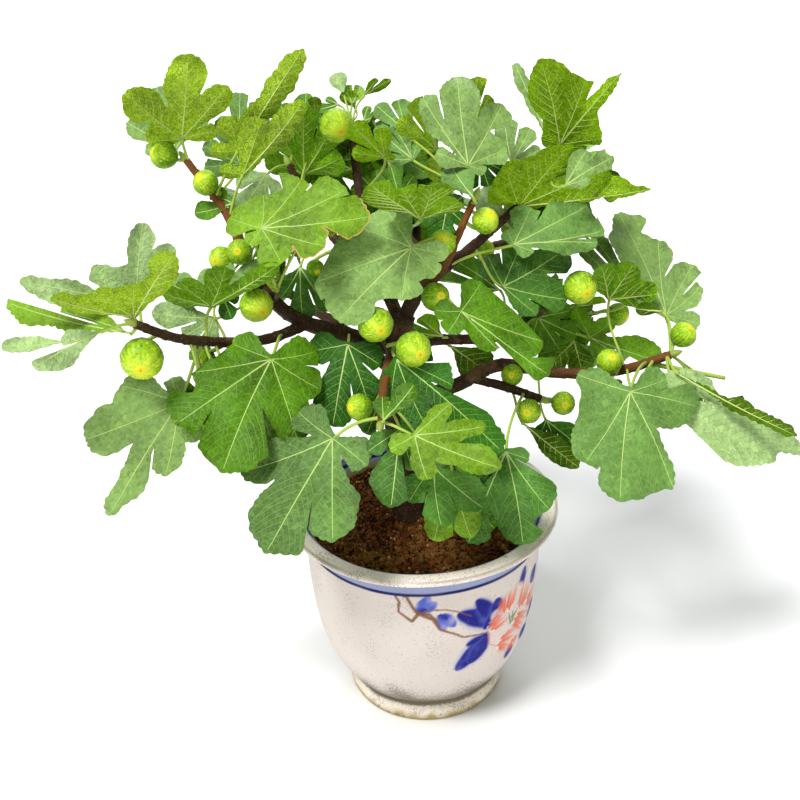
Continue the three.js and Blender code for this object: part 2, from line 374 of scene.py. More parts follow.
def tube(shape, route, radii, sides, look=0, shift=None):
    """A closed tube along a route. shift adds to the radius of each point."""
    tangents, across, along = cross_frames(route)
    angles = even_turns(sides)
    radii = np.broadcast_to(radii, len(route))[:, None] * np.ones(sides)
    if shift is not None:
        radii = radii + shift
    rings = (
        route[:, None]
        + across[:, None] * (radii * np.cos(angles))[..., None]
        + along[:, None] * (radii * np.sin(angles))[..., None]
    )
    cap = radii.mean(1)[[0, -1]] * 0.4
    ends = np.array([route[0] - tangents[0] * cap[0], route[-1] + tangents[-1] * cap[1]])
    points = np.vstack([rings.reshape(-1, 3), ends])
    last = (len(route) - 1) * sides
    k = np.arange(sides)
    after = (k + 1) % sides
    caps = [fan(len(points) - 2, after, k), fan(len(points) - 1, last + k, last + after)]
    shape.add(points, np.vstack([halved(wall_quads(len(route), sides)), *caps]), look)


# ---------------------------------------------------------------- finishes


def new_finish(name, colour, roughness, shine=0.3):
    """A Principled finish with its base colour, roughness and shine set on the shader itself."""
    material = bpy.data.materials.new(name)
    material.use_nodes = True
    shader = material.node_tree.nodes["Principled BSDF"]
    shader.inputs["Base Color"].default_value = (*colour, 1)
    shader.inputs["Roughness"].default_value = roughness
    shader.inputs["Specular IOR Level"].default_value = shine
    material.diffuse_color = (*colour, 1)
    return material, shader


def pattern_node(tree, kind, **inputs):
    """A pattern that stays put on the piece, with its inputs."""
    place = tree.nodes.new("ShaderNodeTexCoord")
    pattern = tree.nodes.new(kind)
    for name, value in inputs.items():
        pattern.inputs[name].default_value = value
    tree.links.new(place.outputs["Object"], pattern.inputs["Vector"])
    return pattern


def noise_node(tree, scale, detail=3.0, roughness=0.5):
    return pattern_node(tree, "ShaderNodeTexNoise", Scale=scale, Detail=detail, Roughness=roughness)


def cell_node(tree, scale, feature="F1"):
    cells = pattern_node(tree, "ShaderNodeTexVoronoi", Scale=scale)
    cells.feature = feature
    return cells


def mix_node(tree, share, below, colour):
    """Lays a colour, by its share, over what lies below."""
    mix = tree.nodes.new("ShaderNodeMix")
    mix.data_type = "RGBA"
    tree.links.new(share, mix.inputs["Factor"])
    tree.links.new(below, mix.inputs["A"])
    mix.inputs["B"].default_value = (*colour, 1)
    return mix


def value_node(tree, name):
    """A value or colour that each point of the piece carries."""
    carried = tree.nodes.new("ShaderNodeAttribute")
    carried.attribute_name = name
    return carried


def carry(piece, name, kind, values):
    """Gives each point of a piece a value or a colour."""
    layer = piece.data.attributes.new(name, kind, "POINT")
    field = "color" if kind == "FLOAT_COLOR" else "value"
    layer.data.foreach_set(field, np.asarray(values, np.float32).ravel())


def ramp_node(tree, source, stops):
    ramp = tree.nodes.new("ShaderNodeValToRGB")
    while len(ramp.color_ramp.elements) < len(stops):
        ramp.color_ramp.elements.new(0.5)
    for element, (place, colour) in zip(ramp.color_ramp.elements, stops):
        element.position = place
        element.color = (*colour, 1) if len(colour) == 3 else colour
    tree.links.new(source, ramp.inputs["Fac"])
    return ramp


def grey(value):
    return (value, value, value)


def add_bump(tree, shader, height, strength, distance, below=None):
    bump = tree.nodes.new("ShaderNodeBump")
    bump.inputs["Strength"].default_value = strength
    bump.inputs["Distance"].default_value = distance
    tree.links.new(height, bump.inputs["Height"])
    if below is not None:
        tree.links.new(below.outputs["Normal"], bump.inputs["Normal"])
    tree.links.new(bump.outputs["Normal"], shader.inputs["Normal"])
    return bump


def uneven_roughness(tree, shader, scale, low, high):
    noise = noise_node(tree, scale)
    ramp = ramp_node(tree, noise.outputs["Fac"], [(0.3, grey(low)), (0.7, grey(high))])
    tree.links.new(ramp.outputs["Color"], shader.inputs["Roughness"])


def upper_finish(name, colour):
    """The upper side of a leaf: a satin skin, quilted between its smallest veins."""
    material, shader = new_finish(name, colour, 0.42, 0.2)
    tree = material.node_tree
    uneven_roughness(tree, shader, 90, 0.35, 0.52)
    cells = cell_node(tree, 210, "DISTANCE_TO_EDGE")
    quilt = add_bump(tree, shader, cells.outputs["Distance"], 0.6, 0.0022)
    grain = noise_node(tree, 520, 4, 0.65)
    add_bump(tree, shader, grain.outputs["Fac"], 0.4, 0.0012, quilt)
    return material


def under_finish(name, colour):
    """The underside of a leaf: downy and dull, with its smallest veins standing proud."""
    material, shader = new_finish(name, colour, 0.62, 0.15)
    tree = material.node_tree
    uneven_roughness(tree, shader, 120, 0.55, 0.7)
    cells = cell_node(tree, 240, "DISTANCE_TO_EDGE")
    edge = ramp_node(tree, cells.outputs["Distance"], [(0.0, grey(1)), (0.16, grey(0))])
    ribs = add_bump(tree, shader, edge.outputs["Color"], 0.7, 0.0014)
    down = noise_node(tree, 420, 3)
    add_bump(tree, shader, down.outputs["Fac"], 0.35, 0.0014, ribs)
    return material


def skin_finish(name, roughness=0.5, grain=700, depth=0.0004, shine=0.3):
    """A plain skin in the colour of the same name."""
    material, shader = new_finish(name, hue(name), roughness, shine)
    tree = material.node_tree
    uneven_roughness(tree, shader, 200, roughness - 0.06, roughness + 0.08)
    noise = noise_node(tree, grain, 3)
    add_bump(tree, shader, noise.outputs["Fac"], 0.3, depth)
    return material


def bark_finish(name, dark, pale, moss):
    """Smooth young bark: dark wood with paler worn skin, pores and a breath of green."""
    material, shader = new_finish(name, dark, 0.75, 0.2)
    tree = material.node_tree
    patches = noise_node(tree, 38, 6, 0.6)
    old = ramp_node(
        tree, patches.outputs["Fac"], [(0.35, dark), (0.52, dark), (0.66, pale), (0.8, moss)]
    )
    age = value_node(tree, "youth")
    wood = mix_node(tree, age.outputs["Fac"], old.outputs["Color"], hue("young_bark"))
    pores = cell_node(tree, 330)
    dots = ramp_node(tree, pores.outputs["Distance"], [(0.12, grey(1)), (0.22, grey(0))])
    lit = np.minimum(1, np.array(pale) * 1.7)
    blend = mix_node(tree, dots.outputs["Color"], wood.outputs["Result"], lit)
    tree.links.new(blend.outputs["Result"], shader.inputs["Base Color"])
    uneven_roughness(tree, shader, 60, 0.55, 0.85)
    wrinkles = noise_node(tree, 240, 8, 0.65)
    first = add_bump(tree, shader, wrinkles.outputs["Fac"], 0.7, 0.0018)
    add_bump(tree, shader, dots.outputs["Color"], 0.4, 0.0006, first)
    return material


# ---------------------------------------------------------------- limbs

TRUNK = dict(
    base=17.0,
    tip=12.5,
    route=[(-10, 8, 234.35), (-20, 5, 310), (-25, 0, 390), (-20, 0, 460), (-14, 5, 492)])
FLARE = dict(radius=11.0, height=22.0, ridges=5, depth=0.16)

# Each bough: its radius at the base and the tip, and the middle line that it follows.
BOUGHS = {
    "bough_left": (9.5, 5, [(-22, 0, 455), (-70, 5, 470), (-135, 20, 490), (-175, 45, 525),
                            (-205, 90, 585), (-250, 125, 640)]),
    "bough_left_low": (6, 4.5, [(-118, 16, 484), (-155, -5, 477), (-205, -45, 492),
                                (-245, -85, 517), (-275, -112, 545)]),
    "bough_front": (6, 4.5, [(-22, 0, 462), (-30, -40, 460), (-38, -95, 450), (-41, -150, 445)]),
    "bough_top": (8, 4, [(-15, 4, 480), (-36, 50, 520), (-58, 140, 590), (-66, 215, 650)]),
    "bough_top_left": (6, 4, [(-34, 46, 517), (-75, 85, 540), (-115, 130, 580),
                              (-138, 155, 622)]),
    "bough_upright": (8.5, 5, [(-15, 4, 484), (0, 10, 512), (30, 15, 543), (46, 20, 572),
                               (66, 32, 612)]),
    "bough_upper_right": (6, 4.5, [(20, 13, 532), (70, 60, 552), (120, 105, 578),
                                   (160, 130, 605)]),
    "bough_right": (9, 5, [(-25, 2, 384), (45, 22, 397), (95, 40, 411), (155, 45, 397),
                           (225, 30, 402), (285, 15, 428)]),
    "bough_right_low": (5.5, 4.5, [(60, 28, 402), (105, 20, 391), (140, 12, 380)]),
    "bough_right_back": (6.5, 4.5, [(-22, 4, 452), (20, 30, 450), (60, 60, 436),
                                    (110, 100, 420), (185, 160, 410)]),
    "bough_back_right": (6.5, 4.5, [(-28, 36, 506), (40, 110, 515), (120, 180, 510),
                                    (190, 235, 520)]),
    "bough_back": (7, 4.5, [(-22, 2, 440), (-10, 90, 455), (5, 180, 480), (10, 265, 510)]),
    "bough_back_left": (7, 4.5, [(-24, 0, 425), (-85, 85, 445), (-150, 160, 460),
                                 (-205, 225, 480)]),
}
LIMB_STEP = 2.6  # between the rings of a bark mesh
YOUNG_ENDS = ("bough_left", "bough_upright", "bough_right", "bough_front")  # reddish at the tip
THINNING = {"bough_upright": 0.3, "bough_left": 0.2, "bough_front": 0.15}  # at the young end
LEAF_SCAR_GAP = 24.0  # between the rings that old leaves left on a limb


@lru_cache(maxsize=None)
def limb_route(name):
    knots = TRUNK["route"] if name == "trunk" else BOUGHS[name][2]
    return smooth_route(knots, LIMB_STEP)


def limb_radii(name):
    base, tip = (TRUNK["base"], TRUNK["tip"]) if name == "trunk" else BOUGHS[name][:2]
    radii = np.linspace(base, tip, len(limb_route(name)))
    share = np.linspace(0, 1, len(radii))
    return radii * (1 - THINNING.get(name, 0) * np.clip(2 * share - 0.6, 0, 1))


def scar_rings(along, phase):
    """Height of the rings that old leaves left round a limb, at distances along it."""
    place = (along + phase) / LEAF_SCAR_GAP
    off = (place - np.round(place)) * LEAF_SCAR_GAP
    return np.exp(-((off / 1.7) ** 2)) - 0.5 * np.exp(-(((off - 3.2) / 1.6) ** 2))


def bark_relief(name, route, radii, sides, rough):
    """What to add to a limb's radius at each point of each ring."""
    seed = sum(map(ord, name))
    along = np.arange(len(route)) * LIMB_STEP
    angles = even_turns(sides)
    x = np.cos(angles)[None] * radii[:, None] * 1.4 * np.ones((len(route), 1))
    y = np.sin(angles)[None] * radii[:, None] * 1.4 * np.ones((len(route), 1))
    z = along[:, None] * np.ones(sides)
    places = np.stack([x, y, z * 0.55], -1)
    relief = 0.30 * ripple(places, 26, seed) + 0.22 * rough * ripple(places, 8, seed + 1)
    furrows = np.stack([x * 1.6, y * 1.6, z * 0.12], -1)
    relief += 0.30 * rough * ripple(furrows, 9, seed + 2)
    tilt = along[:, None] + 1.6 * np.cos(angles + seed)[None]
    relief += 0.75 * scar_rings(tilt, seed % 20)
    return relief


def wood_shape(name):
    shape = Shape()
    route, radii = limb_route(name), limb_radii(name)
    sides = 40 if name == "trunk" else 24
    relief = bark_relief(name, route, radii, sides, 1.6 if name == "trunk" else 1.0)
    if name == "trunk":
        above = route[:, 2] - route[0, 2]
        angles = even_turns(sides)
        ridge = 1 + FLARE["depth"] * np.cos(FLARE["ridges"] * angles)
        relief = relief + FLARE["radius"] * np.exp(-above / FLARE["height"])[:, None] * ridge
    tube(shape, route, radii, sides, 0, relief)
    return shape


def mark_youth(piece, points, name):
    """Thin wood is young and reddish: how young, at each point, for the bark's finish."""
    route, radii = limb_route(name), limb_radii(name)
    nearest = np.linalg.norm(points[:, None] - route, axis=2).argmin(1)
    young = np.clip((7.4 - radii[nearest]) / 2.4, 0, 1) * (name in YOUNG_ENDS)
    carry(piece, "youth", "FLOAT", young)


class Wood:
    """Every place on the limbs and twigs where a stalk can start."""

    def __init__(self):
        names = ["trunk", *BOUGHS]
        self.points = np.vstack([limb_route(n) for n in names])
        self.radii = np.concatenate([limb_radii(n) for n in names])
        self.twigs = []

    def add_twig(self, route, radii):
        self.twigs.append((route, radii))
        self.points = np.vstack([self.points, route])
        self.radii = np.concatenate([self.radii, radii])

    def nearest(self, place, pull=None, reach=26.0):
        """The wood nearest to a place, or near a pixel where one is given."""
        gaps = np.linalg.norm(self.points - place, axis=1)
        if pull is not None:
            seen = np.linalg.norm(view.pixels(self.points) - pull, axis=1)
            close = seen < reach
            if close.any():
                gaps = np.where(close, gaps + 2.5 * seen, np.inf)
        best = int(np.argmin(gaps))
        return best, float(np.linalg.norm(self.points[best] - place))


# ---------------------------------------------------------------- leaves

WIDEST = 0.64  # share of a lobe's length at which it is widest
CUT_DEPTH = 0.42  # share of the shorter neighbour's length at which two lobes part
TOOTH_GAP = 11.0
VEIN_STEP, VEIN_STEPS = 4.5, 26  # the pieces of a side vein, and how many it has at most


def inside_ring(points, ring):
    """Which points lie inside a closed ring."""
    a, b = ring, np.roll(ring, -1, 0)
    x, y = points[:, :1], points[:, 1:2]
    crosses = (a[:, 1] > y) != (b[:, 1] > y)
    rise = np.where(b[:, 1] == a[:, 1], 1e-9, b[:, 1] - a[:, 1])
    hits = crosses & (x < (b[:, 0] - a[:, 0]) * (y - a[:, 1]) / rise + a[:, 0])
    return hits.sum(1) % 2 == 1


def gap_to_ring(points, ring):
    return np.sqrt(((points[:, None] - ring[None]) ** 2).sum(-1)).min(1)


def along_line(line, step):
    """The same line with points a step apart, without its last one."""
    marks = run_along(line)
    count = max(2, int(round(marks[-1] / step)))
    even = np.arange(count) * marks[-1] / count
    return np.stack([np.interp(even, marks, line[:, k]) for k in range(line.shape[1])], -1)


class Blade:
    """One fig leaf in its own plane, with the joint at the origin, the middle lobe along +Y and the
    upper side towards +Z. Lobes are told by tip and half width, and part at the cuts."""

    def __init__(self, lobes, seed, cuts=(), fine=4.4, droop=0.18, fold=0.0, cup=0.12, wave=0.06,
                 rungs=True, quilt=1.0, deep=CUT_DEPTH, blunt=2.3, inset=0.0, shade=0.0):
        lobes = sorted(lobes, key=lambda lobe: math.atan2(lobe[0], lobe[1]))
        self.random = np.random.default_rng(seed)
        self.seed = seed
        self.tips = np.array([lobe[:2] for lobe in lobes], float)
        self.turns = np.arctan2(self.tips[:, 0], self.tips[:, 1])
        self.lengths = np.hypot(*self.tips.T)
        self.ways = self.tips / self.lengths[:, None]
        self.widths = np.array([lobe[2] for lobe in lobes]) * self.lengths
        self.size = self.lengths.max()
        self.fine, self.droop, self.fold, self.cup, self.wave = fine, droop, fold, cup, wave
        self.inset, self.shade = inset, shade
        self.quilt, self.with_rungs, self.deep, self.blunt = quilt, rungs, deep, blunt
        self.cuts = self.place_cuts(cuts)
        self.outline = self.make_outline()
        low, high = self.outline.min(0), self.outline.max(0)
        self.middle, self.span = (low + high) / 2, (high - low).max()
        self.make_veins()

    def place_cuts(self, given):
        """The place where each lobe parts from the next; the last one is the notch at the stalk."""
        found = []
        given = [np.asarray(cut, float) for cut in given]
        for k in range(len(self.tips) - 1):
            between = [cut for cut in given
                       if self.turns[k] < math.atan2(cut[0], cut[1]) < self.turns[k + 1]]
            if between:
                found.append(between[0])
                continue
            apart = self.turns[k + 1] - self.turns[k]
            turn = self.turns[k] + apart / 2
            depth = self.deep * (1 - 0.45 * min(1, max(0, apart - 1.2)))
            reach = depth * min(self.lengths[k], self.lengths[k + 1])
            found.append(reach * np.array([math.sin(turn), math.cos(turn)]))
        turn = (self.turns[-1] + self.turns[0]) / 2 + math.pi
        found.append(0.035 * self.size * np.array([math.sin(turn), math.cos(turn)]))
        return found

    def lobe_side(self, k, hand):
        """From the cut to the tip of a lobe, on its clockwise side (1) or the other one (-1)."""
        cut = self.cuts[k if hand > 0 else k - 1]
        way, length, width = self.ways[k], self.lengths[k], self.widths[k]
        side = np.array([way[1], -way[0]]) * hand
        start, waist = cut @ way / length, cut @ side
        widest = max(WIDEST, start + 0.35 * (1 - start))
        s = start + (1 - start) * np.sin(np.linspace(0, math.pi / 2, 40))
        rise = np.clip((s - start) / (widest - start), 0, 1)
        rise = rise * rise * (3 - 2 * rise)
        fall = np.clip((s - widest) / (1 - widest), 0, 1)
        half = (waist + (width - waist) * rise) * (1 - fall**self.blunt) ** 0.62
        return along_line(np.outer(s * length, way) + np.outer(half, side), 0.5 * self.fine)

    def cut_line(self, k, hand):
        """A cut and the way across it, towards this lobe, that keeps the neighbours apart."""
        cut = self.cuts[k if hand > 0 else k - 1]
        other = (k + hand) % len(self.tips)
        if other == k or cut is self.cuts[-1]:
            middle = unit(cut)
        else:
            middle = unit(unit(self.tips[k] - cut) + unit(self.tips[other] - cut))
        across = np.array([middle[1], -middle[0]])
        return cut, middle, across * (-hand)

    def make_outline(self):
        sides = []
        for k in range(len(self.tips)):
            for hand in (-1, 1):
                line = self.lobe_side(k, hand)
                if hand > 0:
                    line = np.vstack([self.tips[k], line[:0:-1]])
                sides.append((line, self.cut_line(k, hand)))
        ring = np.vstack([line for line, _ in sides])
        for _ in range(2):
            ring = (np.roll(ring, 1, 0) + 2 * ring + np.roll(ring, -1, 0)) / 4
        normal = ring_normals(ring)
        step = np.linalg.norm(np.roll(ring, -1, 0) - ring, axis=1)
        marks = np.concatenate([[0], np.cumsum(step)])[:-1]
        warp = marks + 4.0 * ripple(marks[:, None], 55, self.seed + 5)
        teeth = round(step.sum() / TOOTH_GAP)
        tooth = np.abs(np.sin(math.pi * teeth * warp / step.sum())) - 0.6
        far = np.clip(gap_to_ring(ring, np.array(self.cuts)) / (0.22 * self.size), 0, 1)
        slow = 1.7 * ripple(ring, 34, self.seed + 6)
        ring = ring + normal * (far * (1.8 * tooth + slow) * self.size / 120)[:, None]
        first = 0
        for line, (cut, middle, across) in sides:
            part = ring[first: first + len(line)]
            room = np.clip(((part - cut) @ middle) * 0.08, 0.05, 0.9)
            part += across * np.maximum(0, room - (part - cut) @ across)[:, None]
            first += len(line)
        return ring

    def make_veins(self):
        """Main veins to the lobes, side veins off them, and the rungs between side veins."""
        self.mains, self.sides, self.rungs = [], [], []
        for k, tip in enumerate(self.tips):
            across = np.array([self.ways[k][1], -self.ways[k][0]])
            s = np.linspace(0, 0.97, max(6, int(self.lengths[k] / VEIN_STEP)))
            bow = self.random.uniform(-0.025, 0.025) * self.lengths[k]
            route = s[:, None] * tip + (bow * np.sin(math.pi * s))[:, None] * across
            self.mains.append((route, self.lengths[k] / self.size))
        self.main_bars = [self.segments([route]) for route, _ in self.mains]
        for k, (route, share) in enumerate(self.mains):
            self.side_veins(k, route, share)
        self.side_bars = self.segments([route for route, _ in self.sides])

    def side_veins(self, k, route, share):
        gap = max(2, round((0.045 * self.size + 2.5) / VEIN_STEP))
        way = self.ways[k]
        for hand in (-1, 1):
            offset = gap // 2 if hand > 0 else 0
            picks = np.arange(2 + offset, len(route) - 2, gap)
            if not len(picks):
                continue
            s = picks / len(route)
            angle = np.radians(57 - 16 * s + self.random.uniform(-3, 3, len(picks))) * hand
            places = route[picks]
            lines, alive = [places], np.ones(len(picks), bool)
            reach = np.zeros(len(picks), int)
            for _ in range(VEIN_STEPS):
                ahead = np.stack([way[0] * np.cos(angle) + way[1] * np.sin(angle),
                                  way[1] * np.cos(angle) - way[0] * np.sin(angle)], -1)
                places = places + VEIN_STEP * ahead
                angle = angle - hand * math.radians(2.8)
                good = inside_ring(places, self.outline)
                good &= gap_to_ring(places, self.outline) > 1.6
                gaps = np.array([self.gap_to(places, bars) for bars in self.main_bars])
                alive &= good & (gaps.argmin(0) == k)
                reach[alive] += 1
                lines.append(places)
                if not alive.any():
                    break
            lines = np.array(lines)
            before = None
            for number in range(len(picks)):
                vein = lines[: reach[number] + 1, number]
                if len(vein) < 3:
                    before = None
                    continue
                self.sides.append((vein, share * (1 - 0.5 * s[number])))
                if before is not None and self.with_rungs:
                    self.add_rungs(before, vein)
                before = vein

    def add_rungs(self, low, high):
        for i in range(2, min(len(low), len(high)) - 1):
            self.rungs.append(np.array([low[i], (low[i] + high[i - 1]) / 2, high[i - 1]]))

    @staticmethod
    def segments(routes):
        if not routes:
            return None
        starts = np.vstack([route[:-1] for route in routes])
        ways = np.vstack([np.diff(route, axis=0) for route in routes])
        return starts, ways, np.maximum((ways**2).sum(-1), 1e-9)

    @staticmethod
    def gap_to(points, bars):
        """Distance from each point to the nearest of a set of veins."""
        if bars is None:
            return np.full(len(points), 1e3)
        starts, ways, squares = bars
        away = points[:, None] - starts
        along = np.clip((away * ways).sum(-1) / squares, 0, 1)
        away -= along[..., None] * ways
        return np.sqrt((away**2).sum(-1).min(1))

    def heights(self, points):
        """How far the blade bends off its plane at each point, and the relief of its veins."""
        points = np.asarray(points, float)
        share = np.hypot(*points.T) / self.size
        edge = np.clip(1 - gap_to_ring(points, self.outline) / (0.22 * self.size), 0, 1) ** 1.5
        z = -self.droop * self.size * share**2
        z += self.fold * np.abs(points[:, 0]) - self.cup * points[:, 0] ** 2 / self.size
        waves = ripple(points, 0.5 * self.size, self.seed + 11, 5)
        z += self.wave * self.size * edge * share * waves
        z += 0.03 * self.size * share * ripple(points, 0.9 * self.size, self.seed + 12, 5)
        main_gap = np.min([self.gap_to(points, bars) for bars in self.main_bars], 0)
        side_gap = self.gap_to(points, self.side_bars)
        relief = self.quilt * 2.2 * (1 - np.exp(-((main_gap / 6) ** 2)))
        relief += self.quilt * 1.3 * (1 - np.exp(-((side_gap / 3.4) ** 2)))
        return z, relief

    def mesh(self):
        """Points and triangles of the flat blade, with its rim first."""
        ring, step = self.outline, self.fine
        low, high = ring.min(0), ring.max(0)
        rows = np.arange(low[1], high[1], step * math.sqrt(3) / 2)
        grid = np.array([(x + (i % 2) * step / 2, y) for i, y in enumerate(rows)
                         for x in np.arange(low[0], high[0], step)])
        grid = grid + self.random.uniform(-0.1, 0.1, grid.shape) * step
        bars = self.segments([route for route, _ in self.mains + self.sides])
        grid = grid[inside_ring(grid, ring)]
        grid = grid[(gap_to_ring(grid, ring) > 0.5 * step) & (self.gap_to(grid, bars) > 2.4)]
        lines = [route[1:] for route, _ in self.mains] + [route[1:] for route, _ in self.sides]
        veins = np.vstack([np.zeros((1, 2)), *lines])
        owner = np.repeat(np.arange(len(lines) + 1), [1] + [len(line) for line in lines])
        keep = inside_ring(veins, ring) & (gap_to_ring(veins, ring) > 0.8)
        bands = [ring]
        if self.inset:
            bands.append(self.inner_band(ring))
        self.band = sum(len(band) for band in bands)
        place = self.band - 1 + np.cumsum(keep)
        linked = keep[1:] & keep[:-1] & (owner[1:] == owner[:-1])
        edges = np.stack([place[:-1], place[1:]], -1)[linked].tolist()
        corners = [Vector(p) for p in np.vstack([*bands, veins[keep], grid])]
        made = delaunay_2d_cdt(corners, edges, [list(range(len(ring)))], 1, 1e-5)
        points = np.array([tuple(p) for p in made[0]])
        faces = np.array([f for f in made[2] if len(f) == 3])
        a, b, c = (points[faces[:, k]] for k in range(3))
        turned = ((b - a)[:, 0] * (c - a)[:, 1] - (b - a)[:, 1] * (c - a)[:, 0]) < 0
        faces[turned] = faces[turned][:, ::-1]
        return points, faces, len(ring)

    def inner_band(self, ring):
        """The ring drawn in by the width of the leaf's dry edge."""
        band = ring - ring_normals(ring) * self.inset
        return band[gap_to_ring(band, ring) > 0.8 * self.inset]


class Leaf:
    """A blade placed on the plant, with the way that its stalk comes in. A leaf set by the view
    curves along the lines of sight, so that it keeps its outline there."""

    def __init__(self, mass, blade, joint, across, along, tint, root=None, brown_edge=None,
                 by_view=False):
        self.mass, self.blade, self.joint = mass, blade, np.asarray(joint, float)
        self.across, self.along = unit(across), unit(along)
        self.normal = np.cross(self.across, self.along)
        self.tint, self.root, self.brown_edge, self.by_view = tint, root, brown_edge, by_view

    def placed(self, points):
        bend, relief = self.blade.heights(points)
        flat = self.joint + points[:, :1] * self.across + points[:, 1:2] * self.along
        if not self.by_view:
            return flat + (bend + relief)[:, None] * self.normal
        sight = flat - VIEW_PLACE
        sight /= np.linalg.norm(sight, axis=1)[:, None]
        facing = sight @ self.normal
        facing = np.sign(facing) * np.maximum(np.abs(facing), 0.5)
        return flat + sight * (bend / facing)[:, None] + relief[:, None] * self.normal


VEIN_UPPER, VEIN_SIDE, VEIN_UNDER, BROWN_EDGE = range(4)  # the first looks of a leaf piece
TONES = (0.60, 0.79, 1.0, 1.22, 1.46)  # painted steps of light and shade within one leaf
UPPER_LOOKS, UNDER_LOOKS = 4, 4 + 8 * len(TONES)  # where the tints of each side start
RING_NUMBER = [0]


def vein_rows(leaf):
    """For every vein: its line in the leaf's plane, half width, depth below, rise above and look.
    Those of a leaf that shows its underside are stout."""
    rows, blade = [], leaf.blade
    stout = leaf.by_view and np.dot(leaf.normal, VIEW_PLACE - leaf.joint) < 0
    main, side = (1.35, 0.72) if stout else (0.85, 0.22)
    for route, share in blade.mains:
        taper = np.linspace(1, 0.18, len(route)) * share
        rows.append((route, main * taper + 0.14, 1.7 * taper + 0.2, 0.2, VEIN_UPPER))
    for route, share in blade.sides:
        taper = np.linspace(1, 0.3, len(route)) * share
        rows.append((route, side * taper + 0.08, 0.9 * taper + 0.15, 0.12, VEIN_SIDE))
    for route in blade.rungs:
        width = 0.3 if stout else 0.1
        even = np.ones(len(route))
        rows.append((route, width * even, 0.35 * even, -0.35, VEIN_SIDE))
    return rows


def add_veins(shape, leaf, cell):
    """Three-sided bars through the blade: a narrow strip above and a keel below."""
    flat, sides, drops, rises, faces, looks = [], [], [], [], [], []
    rows = vein_rows(leaf)
    total = sum(len(row[0]) for row in rows)
    first = 0
    for route, widths, depths, rise, upper in rows:
        n = len(route)
        way = np.gradient(route, axis=0)
        way /= np.maximum(np.linalg.norm(way, axis=1), 1e-9)[:, None]
        flat.append(route)
        sides.append(np.stack([way[:, 1], -way[:, 0]], -1) * widths[:, None])
        drops.append(depths)
        rises.append(np.full(n, rise))
        left = np.arange(first, first + n - 1)
        right, keel = left + total, left + 2 * total
        faces += [
            np.stack([left, right, right + 1], -1),
            np.stack([left, right + 1, left + 1], -1),
            np.stack([right, keel, keel + 1], -1),
            np.stack([right, keel + 1, right + 1], -1),
            np.stack([keel, left, left + 1], -1),
            np.stack([keel, left + 1, keel + 1], -1),
            np.array([[first, first + 2 * total, first + total]]),
            np.array([[first + n - 1, first + n - 1 + total, first + n - 1 + 2 * total]]),
        ]
        looks += [upper] * (2 * (n - 1)) + [VEIN_UNDER] * (4 * (n - 1) + 2)
        first += n
    flat, sides = np.vstack(flat), np.vstack(sides)
    drops, rises = np.concatenate(drops), np.concatenate(rises)
    half = length_of("blade_thickness") / 2
    middle = leaf.placed(flat)
    bend = leaf.placed(flat + sides) - middle
    lift = (half + rises)[:, None] * leaf.normal
    keel = middle - (half + drops)[:, None] * leaf.normal
    points = np.vstack([middle - bend + lift, middle + bend + lift, keel])
    places = map_places(leaf.blade, flat, cell)
    shape.add(points, np.vstack(faces), looks, np.vstack([places] * 3))


def map_places(blade, flat, cell):
    """A leaf's places on its piece's map: each skin has a square cell of its own."""
    column, row, across = cell
    spot = (flat - blade.middle) / blade.span * 0.94 + 0.5
    return (spot + (column, row)) / across


def skin_tones(blade, flat, faces):
    """A step of tone for each face: broad painted light and shade, fine mottles, and pale main
    veins.
    """
    middle = flat[faces].mean(1)
    value = 0.7 * ripple(middle, 0.6 * blade.size, blade.seed + 21, 5)
    value += 0.3 * ripple(middle, 13, blade.seed + 22)
    gap = np.min([blade.gap_to(middle, bars) for bars in blade.main_bars], 0)
    # The main veins are pale; blade.shade is painted light and shade that lifts or lowers the whole
    # leaf.
    value += 0.7 * np.exp(-((gap / 4) ** 2)) - 0.1 + blade.shade
    value += np.random.default_rng(blade.seed + 23).uniform(-0.75, 0.75, len(value))
    return np.clip(np.round(value), -2, 2).astype(int) + 2


def add_leaf(shape, leaf, cells):
    """Adds a leaf's blade, in two skins and a rim, and its veins."""
    blade = leaf.blade
    flat, faces, ring = blade.mesh()
    half = length_of("blade_thickness") / 2
    middle = leaf.placed(flat)
    count = len(flat)
    k = np.arange(ring)
    after = (k + 1) % ring
    rim = np.concatenate([
        np.stack([k, after, after + count], -1),
        np.stack([k, after + count, k + count], -1),
    ])
    a, b = flat[k], flat[after]
    if (a[:, 0] * b[:, 1] - a[:, 1] * b[:, 0]).sum() > 0:
        rim = rim[:, ::-1]
    first = len(TONES) * leaf.tint
    tones = skin_tones(blade, flat, faces)
    looks = np.concatenate([UPPER_LOOKS + first + tones, UNDER_LOOKS + first + tones,
                            np.full(len(rim), UPPER_LOOKS + first + 2)])
    if leaf.brown_edge:
        turn = np.arctan2(flat[:, 0], flat[:, 1])
        brown = (turn > leaf.brown_edge[0]) & (turn < leaf.brown_edge[1])
        looks[: len(faces)][(faces < blade.band).all(1) & brown[faces].all(1)] = BROWN_EDGE
        looks[2 * len(faces):][brown[rim % count].all(1)] = BROWN_EDGE
    rims = np.full((2 * count, 3), -1)
    for skin in range(2):
        RING_NUMBER[0] += 1
        marks = np.stack([np.full(ring, RING_NUMBER[0]), k, np.full(ring, ring)], -1)
        rims[skin * count: skin * count + ring] = marks
    places = [map_places(blade, flat, cell) for cell in cells]
    shape.add(
        np.vstack([middle + half * leaf.normal, middle - half * leaf.normal]),
        np.vstack([faces, faces[:, ::-1] + count, rim]),
        looks, np.vstack(places), rims)
    add_veins(shape, leaf, cells[1])


